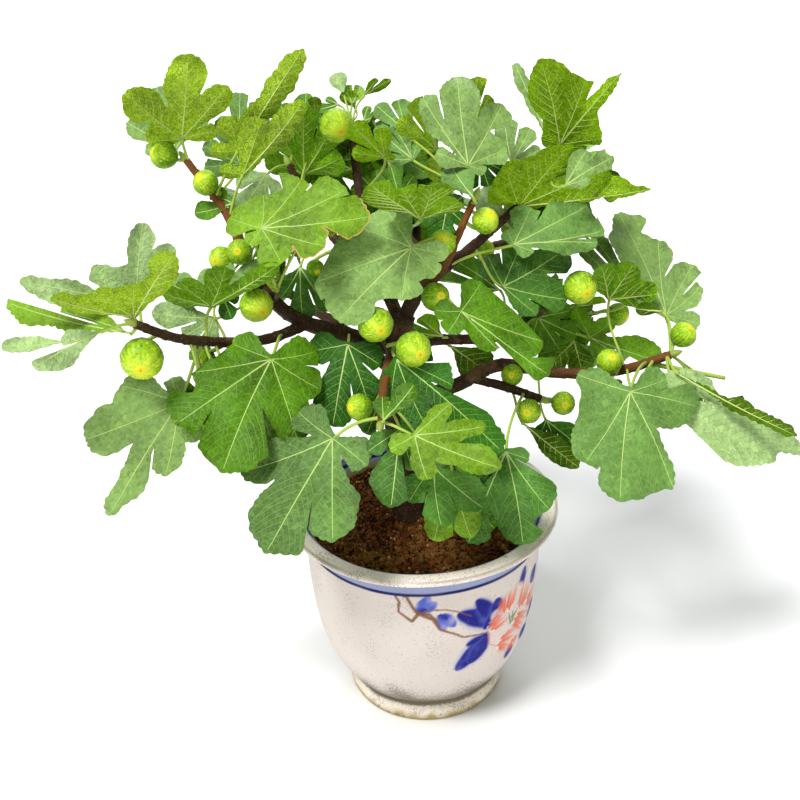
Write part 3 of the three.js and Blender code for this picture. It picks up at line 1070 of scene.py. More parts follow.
# Lobes of a whole leaf: turn from the middle lobe in degrees, length and half width as shares.
LEAF_FORMS = {
    "five": [(-122, 0.50, 0.40), (-58, 0.80, 0.30), (0, 1.0, 0.27), (58, 0.80, 0.30),
             (122, 0.50, 0.40)],
    "three": [(-100, 0.48, 0.45), (-48, 0.82, 0.32), (0, 1.0, 0.31), (48, 0.82, 0.32),
              (100, 0.48, 0.45)],
    "broad": [(-115, 0.55, 0.45), (-52, 0.86, 0.36), (0, 1.0, 0.34), (52, 0.86, 0.36),
              (115, 0.55, 0.45)],
    "young": [(-75, 0.5, 0.42), (0, 1.0, 0.34), (75, 0.5, 0.42)],
}


USUAL_LEAN = {"upper": (0.0, 0.8), "under": (0.0, -0.2)}  # for the side that shows


def seen_leaf(mass, shows, joint, lobes, tint, root=None, middle=None, cuts=(), lean=None,
              brown_edge=None, **shape):
    """A leaf told by pixels: the joint with its depth, the tips of its lobes with their half width
    as a share, the pixel where its stalk starts, which lobe is the middle one, the cuts between
    the lobes, and how the depth changes to the right and upwards for each pixel."""
    px, py, depth = joint
    seed = int(px * 7 + py * 13)
    chance = np.random.default_rng(seed)
    lean = lean or USUAL_LEAN[shows]
    lean = (lean[0] + chance.uniform(-0.35, 0.35), lean[1] + chance.uniform(-0.1, 0.15))
    shape.setdefault("droop", chance.uniform(0.12, 0.26))
    shape.setdefault("cup", chance.uniform(-0.05, 0.3))
    origin = view.at_depth(px, py, depth)
    reach = 60.0
    right = view.at_depth(px + reach, py, depth + lean[0] * reach)
    above = view.at_depth(px, py - reach, depth + lean[1] * reach)
    normal = unit(np.cross(right - origin, above - origin))
    if np.dot(normal, VIEW_PLACE - origin) < 0:
        normal = -normal
    if shows == "under":
        normal = -normal
    if middle is None:
        far = [math.hypot(lobe[0] - px, lobe[1] - py) for lobe in lobes]
        middle = int(np.argmax(far))
    places = [view.on_plane(spot[0], spot[1], origin, normal) - origin for spot in (*lobes, *cuts)]
    along = unit(places[middle])
    across = np.cross(along, normal)
    flat = [(np.dot(place, across), np.dot(place, along)) for place in places]
    widths = [lobe[2] if len(lobe) > 2 else 0.25 for lobe in lobes]
    flat_lobes = [(*spot, width) for spot, width in zip(flat, widths)]
    blade = Blade(flat_lobes, seed, flat[len(lobes):], **shape)
    return Leaf(mass, blade, origin, across, along, tint, root, brown_edge, True)


# Tints of a leaf's upper side and underside, from the shaded heart of the crown to pale tips: deep
# is painted shade, and on the upper side grey, pale and mist hold a painted sheen of the sky.
DEEP, LEAF, FRESH, GREY, TEAL, YOUNG, PALE, MIST = range(8)


@lru_cache(maxsize=1)
def leaves_in_view():
    """The leaves that show from the front, by the part of the crown that they belong to."""
    made = []

    def leaf(*parts, **more):
        made.append(seen_leaf(*parts, **more))

    up, under = "upper", "under"
    # Upper left
    leaf("upper_left", under, (182, 139, 125), [(145, 141, 0.32), (125, 93, 0.27),
         (188, 54, 0.235), (229, 85, 0.2), (219, 130, 0.3)], FRESH, (187, 168), 2, [(168, 110),
         (195, 109), (193, 126), (150, 124)], lean=(0.1, -0.2), shade=0.5)
    leaf("upper_left", up, (176, 150, 150), [(146, 150, 0.3), (126, 122, 0.2), (156, 87, 0.27),
         (205, 96, 0.3)], GREY, (187, 168), lean=(0.1, 0.75))
    leaf("left_inner", under, (238, 151, 100), [(211, 152, 0.36), (229, 116, 0.38),
         (303, 49, 0.105)], FRESH, (219, 195), 2, [(238, 122)], lean=(0.1, -0.15), fold=0.1,
         shade=-0.5)
    leaf("left_inner", under, (243, 175, 95), [(218, 172, 0.36), (262, 119, 0.3),
         (303, 102, 0.14)], FRESH, (231, 218), 2, [(258, 140)], lean=(0.1, -0.2), fold=0.1,
         shade=-0.6)
    leaf("left_inner", up, (240, 165, 155), [(203, 168, 0.3), (203, 146, 0.3), (221, 116, 0.28),
         (240, 92, 0.25), (256, 104, 0.25)], MIST)
    leaf("left_inner", up, (267, 174, 125), [(236, 184, 0.3), (234, 222, 0.28), (262, 230, 0.3),
         (278, 200, 0.3)], PALE)
    leaf("left_inner", up, (234, 204, 95), [(195, 214, 0.28), (211, 194, 0.36)], LEAF)
    leaf("top_left", under, (304, 174, 175), [(264, 158, 0.33), (274, 121, 0.33), (304, 106, 0.3),
         (334, 123, 0.33), (343, 157, 0.33)], TEAL, (303, 187), 2, deep=0.55, shade=1.2)
    leaf("top_left", up, (300, 140, 215), [(280, 104, 0.25), (307, 93, 0.25), (332, 110, 0.25)],
         LEAF, lean=(0.0, 0.75))
    leaf("left_shoulder", up, (262, 229, -28), [(229, 219, 0.45), (264, 196, 0.45),
         (302, 180, 0.4), (347, 190, 0.28), (371, 217, 0.22), (326, 247, 0.28), (282, 264, 0.42),
         (250, 246, 0.5)], YOUNG, (277, 291), 4, [(337, 200), (322, 227), (284, 192), (293, 246)],
         lean=(-0.35, 0.75), deep=0.8, wave=0.06, droop=0.08, cup=0.05, brown_edge=(-0.2, 0.75),
         inset=1.1, shade=-0.5)
    # Centre
    leaf("front_high", up, (411, 248, -20), [(384, 207, 0.42), (347, 223, 0.3), (312, 284, 0.26),
         (337, 322, 0.2), (402, 300, 0.34), (437, 276, 0.28), (447, 253, 0.3)], GREY, (437, 222),
         3, [(368, 217), (323, 252), (325, 299), (376, 302), (418, 282), (436, 263)],
         lean=(-0.1, 0.75), shade=0.6)
    leaf("top_right", up, (468, 166, 40), [(436, 153, 0.42), (423, 99, 0.2), (457, 77, 0.22),
         (502, 105, 0.22), (507, 149, 0.35), (486, 172, 0.4)], GREY, (474, 203), 2, [(444, 122),
         (477, 121), (489, 131)], lean=(0.0, 0.75))
    leaf("top_right", under, (474, 126, 135), [(465, 92, 0.3), (478, 76, 0.28), (490, 96, 0.3)],
         FRESH)
    leaf("top_right", under, (437, 151, 125), [(404, 148, 0.33), (399, 118, 0.27), (416, 98, 0.27),
         (432, 112, 0.22)], FRESH, (420, 184), 2, shade=1.3)
    leaf("top_right", up, (411, 138, 120), [(380, 130, 0.3), (376, 106, 0.25), (398, 100, 0.28),
         (416, 128, 0.3)], MIST, shade=0.6)
    leaf("top_right", up, (413, 160, 100), [(375, 127, 0.25), (393, 126, 0.3), (418, 143, 0.3),
         (388, 160, 0.3)], MIST, shade=0.4)
    leaf("top_right", under, (385, 158, 90), [(352, 153, 0.3), (352, 124, 0.26), (380, 128, 0.33),
         (396, 158, 0.33)], LEAF, (409, 188), 1, lean=(0.0, -0.3), shade=1.2)
    leaf("top_right", up, (474, 199, 5), [(450, 165, 0.36)], MIST, (475, 204), shade=0.6)
    leaf("front_high", under, (421, 220, 20), [(371, 186, 0.27), (402, 189, 0.4), (432, 187, 0.5),
         (460, 203, 0.35)], YOUNG, (409, 236), 2, lean=(0.0, -1.3), deep=0.85, shade=-0.6)
    # The tuft on top, and what shows between
    leaf("top", up, (344, 95, 255), [(336, 73, 0.38)], PALE, (352, 112))
    leaf("top", under, (364, 96, 250), [(378, 79, 0.22), (392, 80, 0.16)], YOUNG, (352, 112),
         lean=(0.0, -0.3))
    leaf("top", up, (352, 105, 248), [(346, 85, 0.33), (361, 86, 0.33)], YOUNG, (352, 112))
    leaf("top", under, (355, 108, 257), [(340, 94, 0.3), (350, 90, 0.3)], FRESH, (352, 112))
    leaf("top", up, (339, 105, 236), [(316, 111, 0.28), (325, 99, 0.24)], LEAF, (349, 116))
    leaf("top", under, (316, 120, 215), [(302, 106, 0.3), (314, 97, 0.35)], FRESH, (303, 187))
    leaf("top", up, (364, 122, 230), [(380, 114, 0.3), (369, 106, 0.3)], LEAF)
    leaf("top", up, (352, 170, 200), [(331, 174, 0.3), (326, 160, 0.35), (345, 156, 0.3)], LEAF)
    leaf("top", up, (374, 190, 190), [(350, 190, 0.3), (356, 171, 0.35), (378, 170, 0.3)], LEAF)
    leaf("top_right", under, (452, 192, 110), [(431, 158, 0.36), (449, 160, 0.3)], FRESH,
         shade=0.6)
    leaf("top_right", up, (400, 198, 150), [(372, 180, 0.3), (391, 167, 0.36), (414, 176, 0.3)],
         LEAF)
    leaf("front_high", up, (442, 216, 90), [(420, 202, 0.3), (440, 190, 0.36), (463, 197, 0.3)],
         DEEP)
    leaf("front_high", up, (447, 208, 75), [(414, 224, 0.3), (440, 246, 0.36), (466, 226, 0.3)],
         DEEP)
    leaf("front_high", up, (300, 268, 60), [(281, 298, 0.3), (303, 322, 0.3), (331, 311, 0.33)],
         TEAL)
    leaf("top_right", up, (480, 160, 105), [(470, 190, 0.3), (489, 187, 0.36), (505, 172, 0.33)],
         DEEP)
    # Upper right
    leaf("upper_right", under, (560, 145, 150), [(541, 140, 0.35), (541, 61, 0.25),
         (586, 78, 0.32), (623, 71, 0.07), (602, 139, 0.42), (587, 149, 0.4)], LEAF, (556, 176), 1,
         [(543, 124), (572, 74), (597, 112), (600, 122)], deep=0.7, blunt=1.4)
    leaf("upper_right", up, (546, 137, 170), [(514, 64, 0.1)], GREY, (556, 176))
    leaf("right_shoulder", under, (519, 207, 100), [(490, 188, 0.36), (504, 164, 0.33),
         (568, 147, 0.27), (606, 170, 0.13), (652, 190, 0.032)], LEAF, (497, 221), 2, [(495, 177),
         (523, 162), (563, 184), (626, 180)], lean=(0.05, -0.3), deep=0.7)
    leaf("upper_right", up, (565, 186, 55), [(612, 158, 0.27), (586, 151, 0.3), (590, 178, 0.3)],
         GREY, (556, 176), lean=(0.0, 0.5), deep=0.8)
    leaf("upper_right", up, (512, 164, 115), [(505, 120, 0.28), (531, 128, 0.28), (541, 150, 0.3)],
         GREY)
    leaf("right_shoulder", up, (514, 245, 60), [(507, 230, 0.5), (532, 207, 0.4), (588, 206, 0.25),
         (605, 231, 0.2), (597, 243, 0.15), (534, 253, 0.45)], MIST, (441, 272), 3, [(596, 217)],
         lean=(0.1, 0.75), deep=0.75, wave=0.06, shade=0.7)
    leaf("right_shoulder", up, (513, 230, 95), [(482, 188, 0.36), (505, 194, 0.36),
         (522, 212, 0.3)], PALE)
    leaf("middle_right", up, (503, 287, 40), [(487, 256, 0.45), (520, 247, 0.36), (568, 247, 0.28),
         (568, 300, 0.28), (536, 315, 0.3)], TEAL, (496, 296), 2, [(545, 275), (540, 250)],
         deep=0.6)
    leaf("middle_right", up, (461, 312, -30), [(434, 311, 0.42), (447, 334, 0.42),
         (498, 351, 0.28), (549, 376, 0.2), (543, 342, 0.25), (481, 283, 0.42)], LEAF, (444, 300),
         3, [(530, 358), (510, 310)], lean=(0.0, 0.75), deep=0.7)
    leaf("middle_right", up, (500, 290, 60), [(454, 260, 0.26), (437, 279, 0.22),
         (468, 287, 0.26)], LEAF, None, 1, lean=(0.0, 0.5))
    leaf("middle_right", under, (443, 337, 15), [(404, 330, 0.3), (420, 318, 0.33)], TEAL,
         lean=(0.0, -0.3))
    # Right
    leaf("right", up, (666, 316, 60), [(619, 214, 0.2), (658, 240, 0.14), (692, 265, 0.28),
         (701, 287, 0.25), (700, 324, 0.33), (638, 292, 0.3)], GREY, (671, 352), 0, [(664, 278),
         (640, 234)], lean=(0.0, 0.75), deep=0.55, shade=0.5)
    leaf("right", up, (634, 292, 120), [(580, 247, 0.12), (596, 240, 0.25), (618, 230, 0.25)],
         GREY, (610, 330), lean=(0.0, 0.75))
    leaf("right", under, (609, 300, 75), [(602, 267, 0.3), (634, 265, 0.36), (659, 295, 0.3)],
         TEAL, (597, 314), 1, lean=(0.0, -0.5), deep=0.8)
    leaf("right", under, (663, 312, 50), [(635, 309, 0.26)], DEEP, (671, 352))
    leaf("right", up, (538, 318, 110), [(530, 341, 0.3), (560, 351, 0.36), (578, 336, 0.36),
         (571, 311, 0.3)], LEAF)
    leaf("right", under, (576, 307, 130), [(547, 312, 0.3), (607, 303, 0.24)], LEAF)
    leaf("right", up, (590, 338, 90), [(575, 308, 0.25), (612, 321, 0.36), (663, 363, 0.25),
         (625, 361, 0.3)], FRESH, None, 2)
    leaf("front_right", up, (630, 392, -60), [(575, 374, 0.2), (585, 463, 0.36), (620, 501, 0.22),
         (674, 491, 0.07), (698, 407, 0.36), (666, 380, 0.42)], MIST, (652, 374), 2, [(581, 396),
         (600, 466), (650, 494), (655, 428)], lean=(0.0, 0.75), deep=0.75, shade=0.6)
    leaf("far_right", up, (648, 392, -40), [(694, 380, 0.3), (776, 458, 0.21), (676, 430, 0.3)],
         PALE, (657, 372), 1, shade=1.0)
    leaf("far_right", up, (672, 376, -20), [(712, 386, 0.2), (801, 455, 0.11)], PALE, (668, 368),
         1, [(722, 399)], shade=0.5)
    leaf("far_right", under, (678, 374, -25), [(799, 437, 0.055)], DEEP, (668, 368),
         lean=(0.0, 0.4))
    # Left
    leaf("left_tip", under, (134, 318, -110), [(51, 299, 0.12), (94, 292, 0.22), (134, 285, 0.26),
         (174, 254, 0.2)], FRESH, (139, 331), 1, [(74, 298), (112, 290), (150, 277)],
         lean=(0.0, -0.35))
    leaf("left_tip", up, (136, 306, -85), [(21, 282, 0.12), (92, 267, 0.25), (143, 221, 0.16),
         (173, 245, 0.18)], PALE, (139, 331), 0, [(128, 264), (151, 250)], lean=(0.0, 0.2))
    leaf("left_tip", up, (130, 334, -115), [(7, 303, 0.11), (62, 312, 0.2)], YOUNG, (139, 332))
    leaf("left_tip", up, (101, 332, -120), [(33, 369, 0.2), (62, 345, 0.26)], PALE, (136, 333))
    leaf("left_tip", up, (70, 342, -125), [(1, 347, 0.12)], PALE, (101, 332))
    leaf("left_mid", under, (211, 307, -20), [(161, 293, 0.28), (179, 282, 0.33), (225, 269, 0.3),
         (281, 264, 0.10)], TEAL, (205, 339), 3, lean=(0.0, -0.4), deep=0.6)
    leaf("left_mid", up, (216, 303, 15), [(167, 283, 0.3), (205, 270, 0.3), (228, 262, 0.3),
         (272, 262, 0.2)], GREY)
    leaf("left_mid", up, (214, 319, 20), [(150, 314, 0.24), (182, 339, 0.33), (205, 347, 0.3)],
         PALE, None, 0, shade=-0.9)
    leaf("left_mid", up, (222, 296, 30), [(240, 300, 0.4), (232, 320, 0.36)], DEEP)
    # Lower left
    leaf("front_left", up, (271, 360, -70), [(233, 345, 0.5), (193, 373, 0.26), (177, 424, 0.26),
         (222, 473, 0.26), (299, 446, 0.24), (320, 390, 0.3), (316, 352, 0.42)], LEAF, (288, 343),
         3, [(209, 355), (187, 394), (212, 410), (262, 408), (307, 400)], deep=0.7, shade=-0.3)
    leaf("front_left", up, (180, 403, -90), [(172, 378, 0.45), (120, 386, 0.3), (86, 440, 0.27),
         (110, 516, 0.12), (166, 478, 0.22), (197, 440, 0.3)], GREY, (205, 344), 3, [(135, 443),
         (155, 447), (114, 404)], lean=(0.1, 0.8), deep=0.6)
    leaf("front_left", up, (216, 400, -98), [(173, 424, 0.28), (178, 401, 0.3)], YOUNG, (205, 344),
         0, [(176, 411)], lean=(0.0, 1.6))
    leaf("front_left", up, (222, 365, -20), [(190, 351, 0.36), (200, 368, 0.36)], LEAF, shade=-0.9)
    leaf("front", up, (333, 439, -130), [(298, 412, 0.4), (243, 472, 0.24), (266, 554, 0.29),
         (333, 542, 0.25), (367, 466, 0.45)], MIST, (382, 418), 2, [(277, 479), (313, 502)],
         shade=-1.0)
    leaf("front", up, (348, 345, -40), [(309, 352, 0.42), (333, 427, 0.3), (369, 405, 0.28),
         (380, 365, 0.42)], DEEP, (349, 338), 1, deep=0.6, shade=-1.3)
    leaf("front", up, (386, 384, -60), [(359, 393, 0.33), (367, 435, 0.3), (385, 420, 0.3)], TEAL,
         None, 1, shade=-0.8)
    # Lower middle
    leaf("front_low", up, (415, 436, -165), [(390, 450, 0.4), (428, 481, 0.24), (501, 469, 0.17),
         (487, 427, 0.15), (451, 404, 0.2)], YOUNG, (383, 422), 2, [(434, 462), (457, 444),
         (444, 425)], shade=-0.7)
    leaf("front_low", up, (384, 421, -155), [(383, 397, 0.4), (415, 385, 0.28)], LEAF, (381, 422),
         1, shade=-1.3)
    leaf("front_low", up, (400, 430, -140), [(368, 452, 0.33), (391, 508, 0.3), (413, 472, 0.3)],
         TEAL, None, 1, blunt=1.5, shade=-0.9)
    leaf("front_low", up, (433, 467, -130), [(409, 502, 0.36), (441, 527, 0.33), (482, 508, 0.33)],
         TEAL, None, 1, shade=1.2)
    leaf("right_low", up, (452, 478, -110), [(434, 542, 0.25), (471, 539, 0.25)], YOUNG)
    leaf("right_low", up, (506, 452, -75), [(468, 545, 0.2), (523, 545, 0.23), (549, 510, 0.28),
         (529, 460, 0.42), (478, 480, 0.4)], TEAL, (524, 424), 1, [(488, 507), (533, 524)])
    leaf("right_low", up, (397, 360, -60), [(432, 354, 0.45), (453, 386, 0.33), (502, 452, 0.16),
         (430, 434, 0.36), (391, 400, 0.36)], DEEP, (395, 345), 2, deep=0.65)
    # Under the right bough
    leaf("right_under", under, (523, 424, 20), [(579, 468, 0.17)], DEEP)
    leaf("right_under", up, (546, 420, 40), [(539, 440, 0.36), (560, 455, 0.33), (583, 449, 0.33)],
         DEEP)
    leaf("right_under", under, (574, 342, 115), [(544, 371, 0.4), (582, 373, 0.4)], DEEP,
         lean=(0.0, -0.3), shade=0.8)
    leaf("right_under", under, (450, 346, 60), [(489, 374, 0.34)], DEEP, lean=(0.0, -0.3),
         shade=1.3)
    return made


# Round places, by pixel and radius, where light comes through the crown.
SKY_WINDOWS = [
    (215, 232, 24), (188, 225, 22), (160, 205, 24), (262, 343, 12), (286, 330, 8), (445, 290, 7),
    (414, 357, 10), (485, 418, 16), (470, 400, 10), (505, 440, 12), (530, 460, 14),
    (483, 337, 10), (585, 255, 12), (640, 330, 14), (620, 405, 4), (545, 268, 5),
    (180, 355, 9), (240, 165, 5), (328, 400, 5), (330, 330, 3), (480, 245, 5), (560, 385, 6),
    (60, 240, 40), (70, 330, 10), (150, 370, 16), (210, 500, 30), (60, 390, 30),
]

# Figs: the pixel of the middle, how wide they are in pixels, the depth, how far the eye lies off
# the middle as shares of the radius to the right and down, and how light the skin is.
FIGS = [
    (336, 125, 34, 150, (0.40, 0.47), 1.05), (164, 155, 28, 120, (-0.80, -0.30), 0.1),
    (206, 183, 26, 100, (-0.50, -0.40), 0.2), (240, 252, 26, 50, (-0.22, -0.03), -0.2),
    (222, 259, 26, 62, (-0.50, 0.20), 0.7), (256, 305, 34, 10, (0.45, 0.47), 1.05),
    (375, 324, 36, -48, (0.38, 0.42), 0.55), (413, 349, 36, -62, (0.45, 0.35), 0.6),
    (485, 221, 27, 25, (0.40, -0.50), 0.85), (443, 243, 26, 5, (-0.10, -0.30), 0.8),
    (435, 297, 29, -10, (0.45, -0.07), -0.5), (580, 287, 34, 60, (0.42, 0.42), 0.75),
    (618, 314, 23, 150, (0.85, 0.30), -0.2), (683, 335, 26, 20, (0.62, -0.55), 0.4),
    (609, 362, 26, 20, (0.28, -0.38), 0.2), (563, 403, 24, 0, (0.20, 0.20), 0.0),
    (529, 411, 25, -5, (-0.20, 0.15), 0.2), (512, 375, 22, 30, (-0.05, 0.0), -0.3),
    (360, 407, 27, -90, (-0.75, 0.05), 0.1), (142, 358, 43, -110, (-0.05, 0.62), 0.75),
    (404, 216, 18, 60, (0.0, 0.3), -0.2), (315, 268, 18, 60, (0.3, 0.5), -1.1),
    (204, 357, 16, -20, (-0.5, 0.5), -0.45),
]
# Figs on the hidden boughs: the bough, how far along it, and to which side.
BACK_FIGS = [
    ("bough_back", 0.55, 1), ("bough_back", 0.82, -1), ("bough_back_left", 0.5, 1),
    ("bough_back_left", 0.84, -1), ("bough_back_right", 0.45, 1), ("bough_back_right", 0.82, -1),
    ("bough_right_back", 0.8, 1), ("bough_back_left", 0.68, -1),
]
# Leaf stalks that have lost their blade: the pixel where they start, and where they end.
BARE_STALKS = [((648, 371), (725, 378, 5))]

# ---------------------------------------------------------------- stalks, twigs and buds

TWIG, STALK, BUD = 0, 1, 2
STALK_REACH = 105.0  # the longest leaf stalk that grows straight from the wood
STALK_SIDES, TWIG_SIDES = 8, 10
TWIG_STEP = 2.5  # between the rings of a twig's mesh
TWIG_RADIUS, THIN_TWIG = 3.2, 2.3  # at the base


def bent_route(start, start_way, end, end_way, step=5.0):
    """A bent line that leaves and arrives along given ways."""
    gap = np.linalg.norm(end - start)
    a, b = start + unit(start_way) * gap * 0.33, end - unit(end_way) * gap * 0.36
    t = np.linspace(0, 1, max(4, int(gap / step)))[:, None]
    return ((1 - t) ** 3 * start + 3 * (1 - t) ** 2 * t * a + 3 * (1 - t) * t**2 * b
            + t**3 * end)


def add_stalk(shape, start, start_way, leaf):
    """A leaf's stalk: swollen where it leaves the wood and a little where it meets the blade."""
    end = leaf.joint - 0.6 * leaf.normal
    arrive = unit(leaf.joint - start) + 0.9 * leaf.along - 0.25 * leaf.normal
    route = bent_route(start, start_way, end, arrive)
    s = np.linspace(0, 1, len(route))
    thick = 0.8 + 0.35 * min(1.0, leaf.blade.size / 130)
    radii = thick * (1.5 + 0.9 * np.exp(-s / 0.06) + 0.4 * np.exp(-(1 - s) / 0.05))
    tube(shape, route, radii, STALK_SIDES, STALK)


def add_bud(shape, place, way, length=9.0, width=2.6):
    """The pointed bud that ends a shoot."""
    s = np.linspace(0, 1, 8)
    route = place + np.outer(s * length, unit(way))
    radii = width * np.clip(np.sin(math.pi * (0.32 + 0.66 * s)), 0.06, 1)
    tube(shape, route, radii, STALK_SIDES, BUD)


def add_twig(shape, wood, start, place, way, base, tip):
    """A twig from the wood to a place, with a bud on its end and scar rings along it."""
    route = bent_route(wood.points[start], unit(place - wood.points[start]) + [0, 0, 0.4],
                       place, way, TWIG_STEP)
    radii = np.linspace(base, tip, len(route))
    along = np.arange(len(route)) * TWIG_STEP
    angles = even_turns(TWIG_SIDES)
    seed = int(abs(place.sum())) % 97
    relief = 0.4 * scar_rings(along[:, None] + 0.8 * np.cos(angles + seed), seed)
    relief += 0.12 * ripple(route, 7, seed)[:, None]
    tube(shape, route, radii, TWIG_SIDES, TWIG, relief)
    wood.add_twig(route, radii)
    add_bud(shape, route[-1], route[-1] - route[-2])
    return len(wood.points) - 1


def grow_stalks(leaves, wood, shape):
    """Carries every leaf on a stalk, and the far ones on a twig as well, nearest leaves first."""
    for leaf in sorted(leaves, key=lambda each: wood.nearest(each.joint)[1]):
        if leaf.root is None:
            anchor = leaf.joint - 34 * leaf.along - 8 * leaf.normal
            start, _ = wood.nearest(anchor)
        else:
            start, _ = wood.nearest(leaf.joint, np.array(leaf.root))
        gap = np.linalg.norm(wood.points[start] - leaf.joint)
        if gap > STALK_REACH:
            target = leaf.joint
            if leaf.root is not None:
                depth = 0.45 * leaf.joint[1] + 0.55 * wood.points[start][1]
                target = view.at_depth(*leaf.root, depth)
                start, _ = wood.nearest(target)
                away = target - wood.points[start]
                if np.linalg.norm(away) < 14:
                    target = None
            else:
                toward = unit(wood.points[start] - leaf.joint - 20 * leaf.along)
                target = leaf.joint + toward * 58
            if target is not None:
                way = unit(target - wood.points[start]) + [0, 0, 0.3]
                base = THIN_TWIG if leaf.root is None else TWIG_RADIUS
                start = add_twig(shape, wood, start, target, way, base, 0.8 * base)
        root = wood.points[start]
        leaving = unit(leaf.joint - root) + [0, 0, 0.35]
        add_stalk(shape, root, leaving, leaf)


# ---------------------------------------------------------------- figs

FIG_SIDES, FIG_RINGS = 48, 26
FIG_EYE, FIG_HEART = 7, 8  # the looks after the steps of the skin
MAP_MARGIN = 0.02  # share of a fig's cell left empty on each side
STALK_GAP = 42.0  # a fig further than this from the wood stands on a twig


def fig_outline():
    """Radius and height of a young fig, from the stalk down to its eye, for a width of 2."""
    s = np.linspace(0.02, 0.985, FIG_RINGS)
    turn = math.pi * s
    radius = np.sin(turn) * (1 - 0.07 * np.cos(turn)) * (1 - 0.12 * np.exp(-(s / 0.13) ** 2))
    height = -np.cos(turn) * (0.97 + 0.09 * np.exp(-(s / 0.2) ** 2))
    return radius, height


def fig_tones(seed, light):
    """The tone of every face of a fig: green at the stalk, yellow at the eye, in fine ribs."""
    random = np.random.default_rng(seed + 70)
    share = (np.arange(FIG_RINGS - 1)[:, None] + 0.5) / (FIG_RINGS - 1)
    columns = np.arange(FIG_SIDES)
    rib = np.where(columns % 2 == 0, 0.3, -0.25) + random.uniform(-0.35, 0.35, FIG_SIDES)
    around = 2 * math.pi * columns / FIG_SIDES
    places = np.stack([np.cos(around)[None] * np.ones_like(share),
                       np.sin(around)[None] * np.ones_like(share),
                       2.2 * share * np.ones(FIG_SIDES)], -1)
    level = 0.1 + 0.7 * light + (3.9 + 1.3 * light) * share**2.5 + 1.2 * rib
    level = level + 0.5 * ripple(places, 0.8, seed) + random.uniform(-0.9, 0.9, level.shape)
    level += 1.8 * (random.random(level.shape) < 0.06)
    tones = np.clip(np.round(level), 0, FIG_EYE - 1).astype(int)
    tones[-2] = np.where(columns % 3 == 0, FIG_EYE - 1, FIG_EYE)
    tones[-1] = FIG_EYE
    return tones


def add_fig(shape, centre, width, axis, seed, cell, light):
    """A fig with low ribs, its eye away from the stalk, on its own cell of the piece's map."""
    radius, height = fig_outline()
    side = unit(np.cross(axis, [0.3, 0.2, 1]))
    other = np.cross(axis, side)
    angles = np.arange(FIG_SIDES + 1) * 2 * math.pi / FIG_SIDES
    ribs = 1 + 0.012 * np.cos(angles * 9 + seed) + 0.006 * np.cos(angles * 14 + 2 * seed)
    ribs = ribs + 0.008 * np.cos(angles * FIG_SIDES / 2)
    ribs[-1] = ribs[0]
    across = radius[:, None] * ribs
    rings = (
        centre
        + width / 2 * height[:, None, None] * axis
        + width / 2 * (across * np.cos(angles))[..., None] * side
        + width / 2 * (across * np.sin(angles))[..., None] * other
    )
    rows = FIG_SIDES + 1
    column, row, count = cell
    inner, margin = 1 - 2 * MAP_MARGIN, MAP_MARGIN
    u = (angles / (2 * math.pi) * inner + margin)[None] * np.ones((FIG_RINGS, 1))
    v = (np.linspace(0, 1, FIG_RINGS) * inner + margin)[:, None] * np.ones(rows)
    uv = (np.stack([u, v], -1).reshape(-1, 2) + (column, row)) / count
    ends = np.array([centre + width / 2 * height[0] * axis,
                     centre + width / 2 * (height[-1] - 0.05) * axis])
    points = np.vstack([rings.reshape(-1, 3), ends])
    uv = np.vstack([uv, (np.array([[0.5, 0.01], [0.5, 0.99]]) + (column, row)) / count])
    triangles = halved(wall_quads(FIG_RINGS, FIG_SIDES, seam=1))
    k = np.arange(FIG_SIDES)
    last = (FIG_RINGS - 1) * rows
    top, eye = fan(len(points) - 2, k + 1, k), fan(len(points) - 1, last + k, last + k + 1)
    tones = fig_tones(seed, light).ravel()
    ends = np.repeat([0, FIG_HEART], FIG_SIDES)
    looks = np.concatenate([tones, tones, ends])
    shape.add(points, np.vstack([triangles, top, eye]), looks, uv)


def grow_figs(wood, figs, stalks):
    """Sets each fig by its pixel, or on a hidden bough, on a short stalk from the nearest wood."""
    count = math.ceil(math.sqrt(len(FIGS) + len(BACK_FIGS)))
    plan = []
    for px, py, wide, depth, eye, light in FIGS:
        centre = view.at_depth(px, py, depth)
        toward = unit(VIEW_PLACE - centre)
        facing = math.sqrt(max(0.0, 1 - eye[0] ** 2 - eye[1] ** 2))
        axis = unit(eye[0] * view.right - eye[1] * view.up + facing * toward)
        plan.append((centre, wide / view.scale(centre), axis, light))
    for number, (bough, share, hand) in enumerate(BACK_FIGS):
        route, radii = limb_route(bough), limb_radii(bough)
        spot = int(share * (len(route) - 1))
        way = unit(route[spot + 1 if spot + 1 < len(route) else spot] - route[spot - 1])
        side = unit(np.cross(way, [0, 0, 1])) * hand
        axis = unit(side + 0.6 * way + [0, 0, 0.35])
        width = 25.0 + 2.0 * (number % 4)
        plan.append((route[spot] + axis * (radii[spot] + 5 + width / 2), width, axis, 0.4))
    for number, (centre, width, axis, light) in enumerate(plan):
        back = centre - axis * width * 0.5
        start, gap = wood.nearest(back)
        if gap > STALK_GAP:
            target = back + unit(wood.points[start] - back) * 16
            start = add_twig(stalks, wood, start, target, target - wood.points[start], 2.8, 2.4)
        root = wood.points[start]
        cell = (number % count, number // count, count)
        add_fig(figs, centre, width, axis, number, cell, light)
        end = centre - axis * width * 0.48
        route = bent_route(root, end - root, end, axis + 0.6 * unit(end - root), 3.0)
        tube(stalks, route, np.linspace(2.4, 2.0, len(route)), STALK_SIDES, STALK)


def fig_finishes():
    """Fresh green skin from the shaded stalk end to the yellow eye, downy and finely pitted."""
    finishes = []
    for step in range(len(FIG_TONES)):
        finishes.append(skin_finish(f"fig_skin_{step}", 0.45, 500, 0.0008, 0.2))
    finishes.append(skin_finish("fig_eye", 0.6, 500, 0.0010, 0.1))
    finishes.append(skin_finish("fig_heart", 0.6, 500, 0.0010, 0.1))
    return finishes


# ---------------------------------------------------------------- leaves that fill the crown

